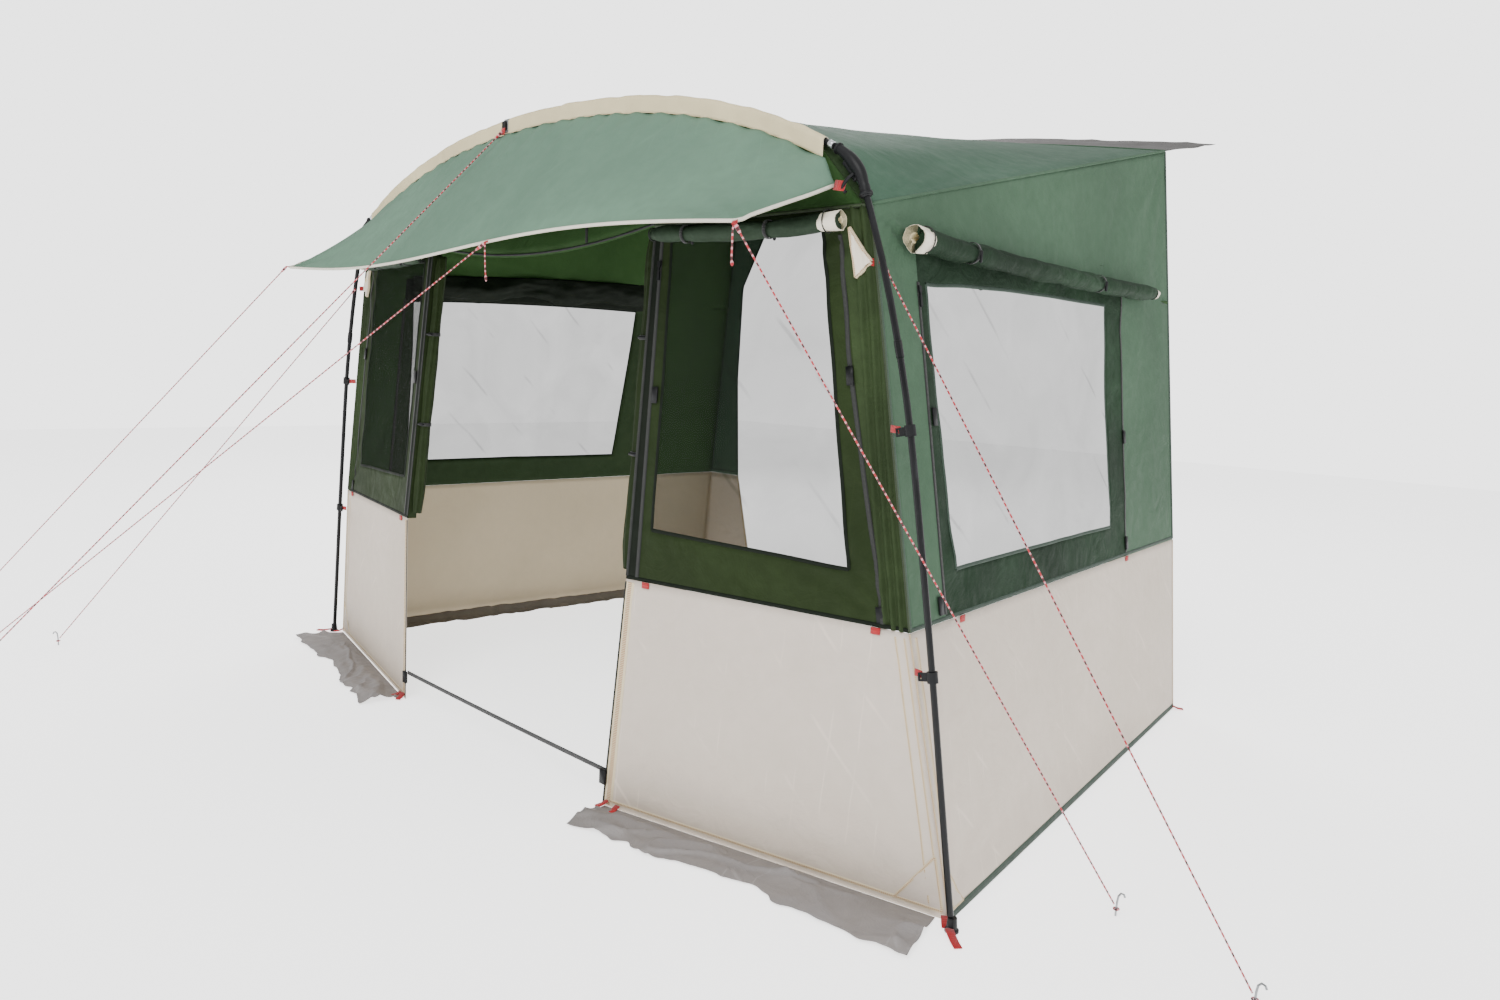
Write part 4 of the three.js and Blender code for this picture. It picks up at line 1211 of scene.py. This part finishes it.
# White binding round the visor's lip and side edges
edge = Kit()
outline = np.concatenate([
    visor(np.full(16, -0.9995), span(0.02, 0.99, 15)),
    visor(span(-0.99, 0.99, 160), np.full(161, 0.998)),
    visor(np.full(16, 0.9995), span(0.99, 0.02, 15)),
])
flat_rim = [(0.0045 * cos(a), 0.0024 * sin(a)) for a in np.linspace(0, 2 * pi, 10, endpoint=False)]
edge.sweep(outline, flat_rim, (0, -0.35, 1))
edge.build("visor_binding", [WHITE_PIPING], slot="white_piping")

# Cream reinforcing triangles on the front walls and stitched ones at the ground corners
patches = Kit()
for label, side in SIDES:
    side_wall, front_wall, side_skirt, front_skirt = walls[label]
    for wall, (a, b, c), lift, slot in (
        (front_wall, ((0.912, 0.949), (0.921, 0.831), (0.985, 0.866)), 0.0075, 0),
        (front_skirt, ((0.985, 0.03), (0.87, 0.03), (0.985, 0.22)), 0.0016, 1),
        (side_skirt, ((0.006, 0.03), (0.04, 0.03), (0.006, 0.2)), 0.0016, 1),
    ):
        s, t = net(8, 8)
        p = mix(mix(row(*a), row(*b), s), row(*c), t)
        turned = np.linalg.det([row(*b) - a, row(*c) - a])
        patches.grid(wall(p[..., 0], p[..., 1], lift), slot=slot,
                     outward=wall.outward * np.sign(turned))
        corners = [a, b, c, a]
        for p, q in zip(corners, corners[1:]):
            patches.ribbon(wall, [p, q], 0.008, lift + 0.0006, slot=2)
patches.build("corner_patches", [CREAM, BEIGE, PALE_SEAM], slot="cream_cloth")


def outward_of(wall, u, v):
    return wall.normal(row(u), row(v))[0]


def point_on(wall, u, v, lift=0.0):
    return wall(row(u), row(v), lift)[0]


# Red webbing tabs, black tabs on the zips, buckles at the jambs
red = Kit()
black = Kit()
for label, side in SIDES:
    side_wall, front_wall, side_skirt, front_skirt = walls[label]
    for wall, u in ((side_wall, 0.128), (side_wall, 0.735), (front_wall, 0.085), (front_wall, 0.90)):
        top = point_on(wall, u, 0.0, 0.004)
        red.strap(top - row(0, 0, 1) * row(0, 0.009, 0.017)[:, None], 0.025, 0.003,
                  np.cross(outward_of(wall, u, 0.0), [0, 0, 1]))
    for wall, u, v in ((side_wall, 0.099, 0.50), (side_wall, 0.747, 0.32), (side_wall, 0.075, 0.06),
                       (side_wall, 0.736, 0.05), (front_wall, 0.068, 0.55), (front_wall, 0.872, 0.62),
                       (front_wall, 0.915, 0.05)):
        top = point_on(wall, u, v, 0.0045)
        run = unit(point_on(wall, u, v - 0.03) - point_on(wall, u, v))
        black.strap(top + run * row(0, 0.02, 0.045)[:, None], 0.020, 0.004,
                    np.cross(outward_of(wall, u, v), run))
    # Tab of the cream triangle, to its guy line
    tip = point_on(front_wall, 0.985, 0.866, 0.004)
    guy = GUYS[f"side_{label}"][0]
    red.strap([tip, mix(tip, guy, 0.6)], 0.018, 0.003, (0, 0, 1))
    # Peg loops at the ground corners
    for start, way in ((point_on(front_skirt, 0.992, 0.02, 0.003), (0.6 * side, -0.8, -0.5)),
                       (point_on(side_skirt, 0.992, 0.02, 0.003), (0.9 * side, 0.5, -0.4)),
                       (point_on(front_skirt, 0.02, 0.03, 0.003), (-0.5 * side, -0.9, -0.6)),
                       (point_on(front_skirt, 0.055, 0.02, 0.003), (0.1 * side, -1, -0.5))):
        way = unit(row(*way))
        line = start + way * row(0, 0.02, 0.042)[:, None]
        line[:, 2] = np.maximum(line[:, 2], 0.005)
        red.strap(line, 0.020, 0.003, np.cross(way, [0, 0, 1]))
    # Buckle where the threshold strap meets each jamb
    jamb = mix(JAMB[0], JAMB[1], 0.13) * mirror(side) + row(-0.004 * side, -0.006, 0)
    black.strap([jamb + row(0, 0, 0.02), jamb - row(0, 0, 0.022)], 0.026, 0.008, (1, 0, 0))
    # Webbing from the foot to its ground peg
    foot = middle_of(f"foot_{label}")[2]
    line = np.array([[0, -0.012, 0.012], [0.016, -0.026, 0.008], [0.034, -0.040, 0.004],
                     [0.052, -0.054, 0.004]]) * mirror(side)
    red.strap(line + row(foot[0], foot[1], 0), 0.020, 0.003, (0.7 * side, 0.7, 0))
    # Tab from the visor's side edge to the elbow
    top = point_on(visor, side * 0.999, 0.01)
    red.strap([top, at(1243, -38, 1694) * mirror(side)], 0.024, 0.003, (0, 0.2, 1))
for name in ("visor_left", "visor_middle", "visor_right"):
    start = GUYS[name][0]
    x = row(start[0] / VISOR_X)
    lip = visor(np.clip(x, -0.995, 0.995), row(0.985))[0]
    red.strap([lip, mix(lip, start, 0.5), start], 0.014, 0.003, (1, 0, 0))
red.build("red_tabs", [RED_TAPE], slot="red_webbing")
black.build("black_tabs", [PLASTIC], slot="black_plastic")

# Grey webbing over the sleeve at the arch clip, with its red tab
clip_low, _, clip = middle_of("arch_clip")
over = Kit()
cover = [band_base(row(clip[0] / BAND_X), row(v))[0] for v in span(0.02, 0.55, 8)]
cover = np.array(cover) + row(0, -0.0016, 0.0012)
over.strap(cover, 0.030, 0.0016, (1, 0, 0), slot=0)
arch_start = GUYS["arch"][0]
over.strap([row(clip[0], clip_low[1] - 0.001, clip_low[2] + 0.004),
            row(clip[0], arch_start[1], arch_start[2] - 0.012)], 0.020, 0.003, (1, 0, 0), slot=1)
over.build("arch_clip_tapes", [GREY_TAPE, RED_TAPE], slot="black_webbing")

# Tabs from the wall corners to the pole clips
for label, side in SIDES:
    front_wall = walls[label][1]
    for level, height in (("upper", 1140), ("lower", 583)):
        low, high, middle = middle_of(f"pole_clip_{level}_{label}")
        inner = low[0] if side > 0 else high[0]
        if height < SEAM_Z:
            sewn = mix(CORNER[0], CORNER[1], height / SEAM_Z)
        else:
            sewn = mix(CORNER[1], CORNER[2], (height - SEAM_Z) / (CORNER_TOP - SEAM_Z))
        sewn = sewn * mirror(side) + row(0.003 * side, -0.004, 0)
        hold = row(inner + side * 0.008, middle[1], middle[2])
        tab = Kit()
        tab.strap(mix(sewn, hold, span(0, 1, 8)), 0.017, 0.0024, (0, 0, 1))
        piece = tab.build(f"clip_tab_{level}_{label}", [RED_TAPE], slot="red_webbing")
        piece.parent = None  # it spans two bodies and rides on neither
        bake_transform(piece)


# ---- Poles and fittings -----------------------------------------------------------------------


def smooth_group():
    group = bpy.data.node_groups.new("smooth_faces", "GeometryNodeTree")
    group.interface.new_socket("Geometry", in_out="INPUT", socket_type="NodeSocketGeometry")
    group.interface.new_socket("Geometry", in_out="OUTPUT", socket_type="NodeSocketGeometry")
    start, end = group.nodes.new("NodeGroupInput"), group.nodes.new("NodeGroupOutput")
    shade = group.nodes.new("GeometryNodeSetShadeSmooth")
    group.links.new(start.outputs[0], shade.inputs[0])
    group.links.new(shade.outputs[0], end.inputs[0])
    return group


SMOOTH = smooth_group()


def finish_node(name, material):
    node = NODES[name]
    node.data.materials.clear()
    node.data.materials.append(material)
    modifier = node.modifiers.new("smooth", "NODES")
    modifier.node_group = SMOOTH
    split = node.modifiers.new("edges", "EDGE_SPLIT")
    split.split_angle = 0.7


def elbow_shell(label, side):
    """Moulded elbow, thicker than the poles, with a rib, socket collars and the visor's hook."""
    flip = mirror(side)
    knots = [at(1199, -20, 1789), at(1216, -20, 1778), at(1243, -20, 1757), at(1270, -20, 1725),
             at(1284, -20, 1696), at(1293.5, -20, 1668)]
    line = spline(knots)(span(0, 1, 40)) * flip
    s = span(0, 1, 40)
    radius = 0.0114 + 0.0046 * np.exp(-((s - 0.5) / 0.22) ** 2) + 0.0012 * (s > 0.8)
    kit = Kit().tube(line, radius, 24, across=(0, 1, 0))
    for share, high in ((0.03, 0.0024), (0.93, 0.0034)):
        k = int(share * 40)
        kit.tube(line[k:k + 3], radius[k] + high, 24, across=(0, 1, 0))
    fin = line[14:27] + row(-0.009 * side, -0.004, -0.009)
    kit.strap(fin, 0.010, 0.016, (0, 1, 0))
    hook = spline([at(1262, -30, 1722), at(1254, -40, 1712), at(1243, -42, 1700), at(1236, -38, 1690),
                   at(1243, -34, 1680)])(span(0, 1, 14)) * flip
    kit.tube(hook, 0.0042, 12, across=(0, 1, 0))
    kit.build(f"elbow_shell_{label}", [PLASTIC], slot="black_plastic", replaces=[f"elbow_{label}"])


for label, side in SIDES:
    elbow_shell(label, side)
finish_node("arch_pole", STEEL)
finish_node("arch_clip", PLASTIC)
finish_node("door_zip_slider", PLASTIC)
for name in GUYS:
    finish_node(f"peg_{name}", PEG)
for label, side in SIDES:
    for part in ("leg_lower", "leg_upper"):
        finish_node(f"{part}_{label}", STEEL)
    for part in ("foot", "pole_clip_upper", "pole_clip_lower", "side_zip_slider"):
        finish_node(f"{part}_{label}", PLASTIC)

fittings = Kit()
for label, side in SIDES:
    flip = mirror(side)
    pole_end = row(BAND_X + 0.001, POLE_Y, arch_z(BAND_X) - 0.012)
    pole_stop = row(1.190, POLE_Y, arch_z(1.190) - 0.012)
    way = pole_stop - pole_end
    ring = (pole_end + way * row(0.35, 0.4, 0.85, 0.9)[:, None]) * flip
    fittings.tube(ring, row(0.0086, 0.0094, 0.0094, 0.0086), 20, across=(0, 1, 0), slot=0)
fittings.build("pole_ferrules", [FERRULE], slot="bright_steel")
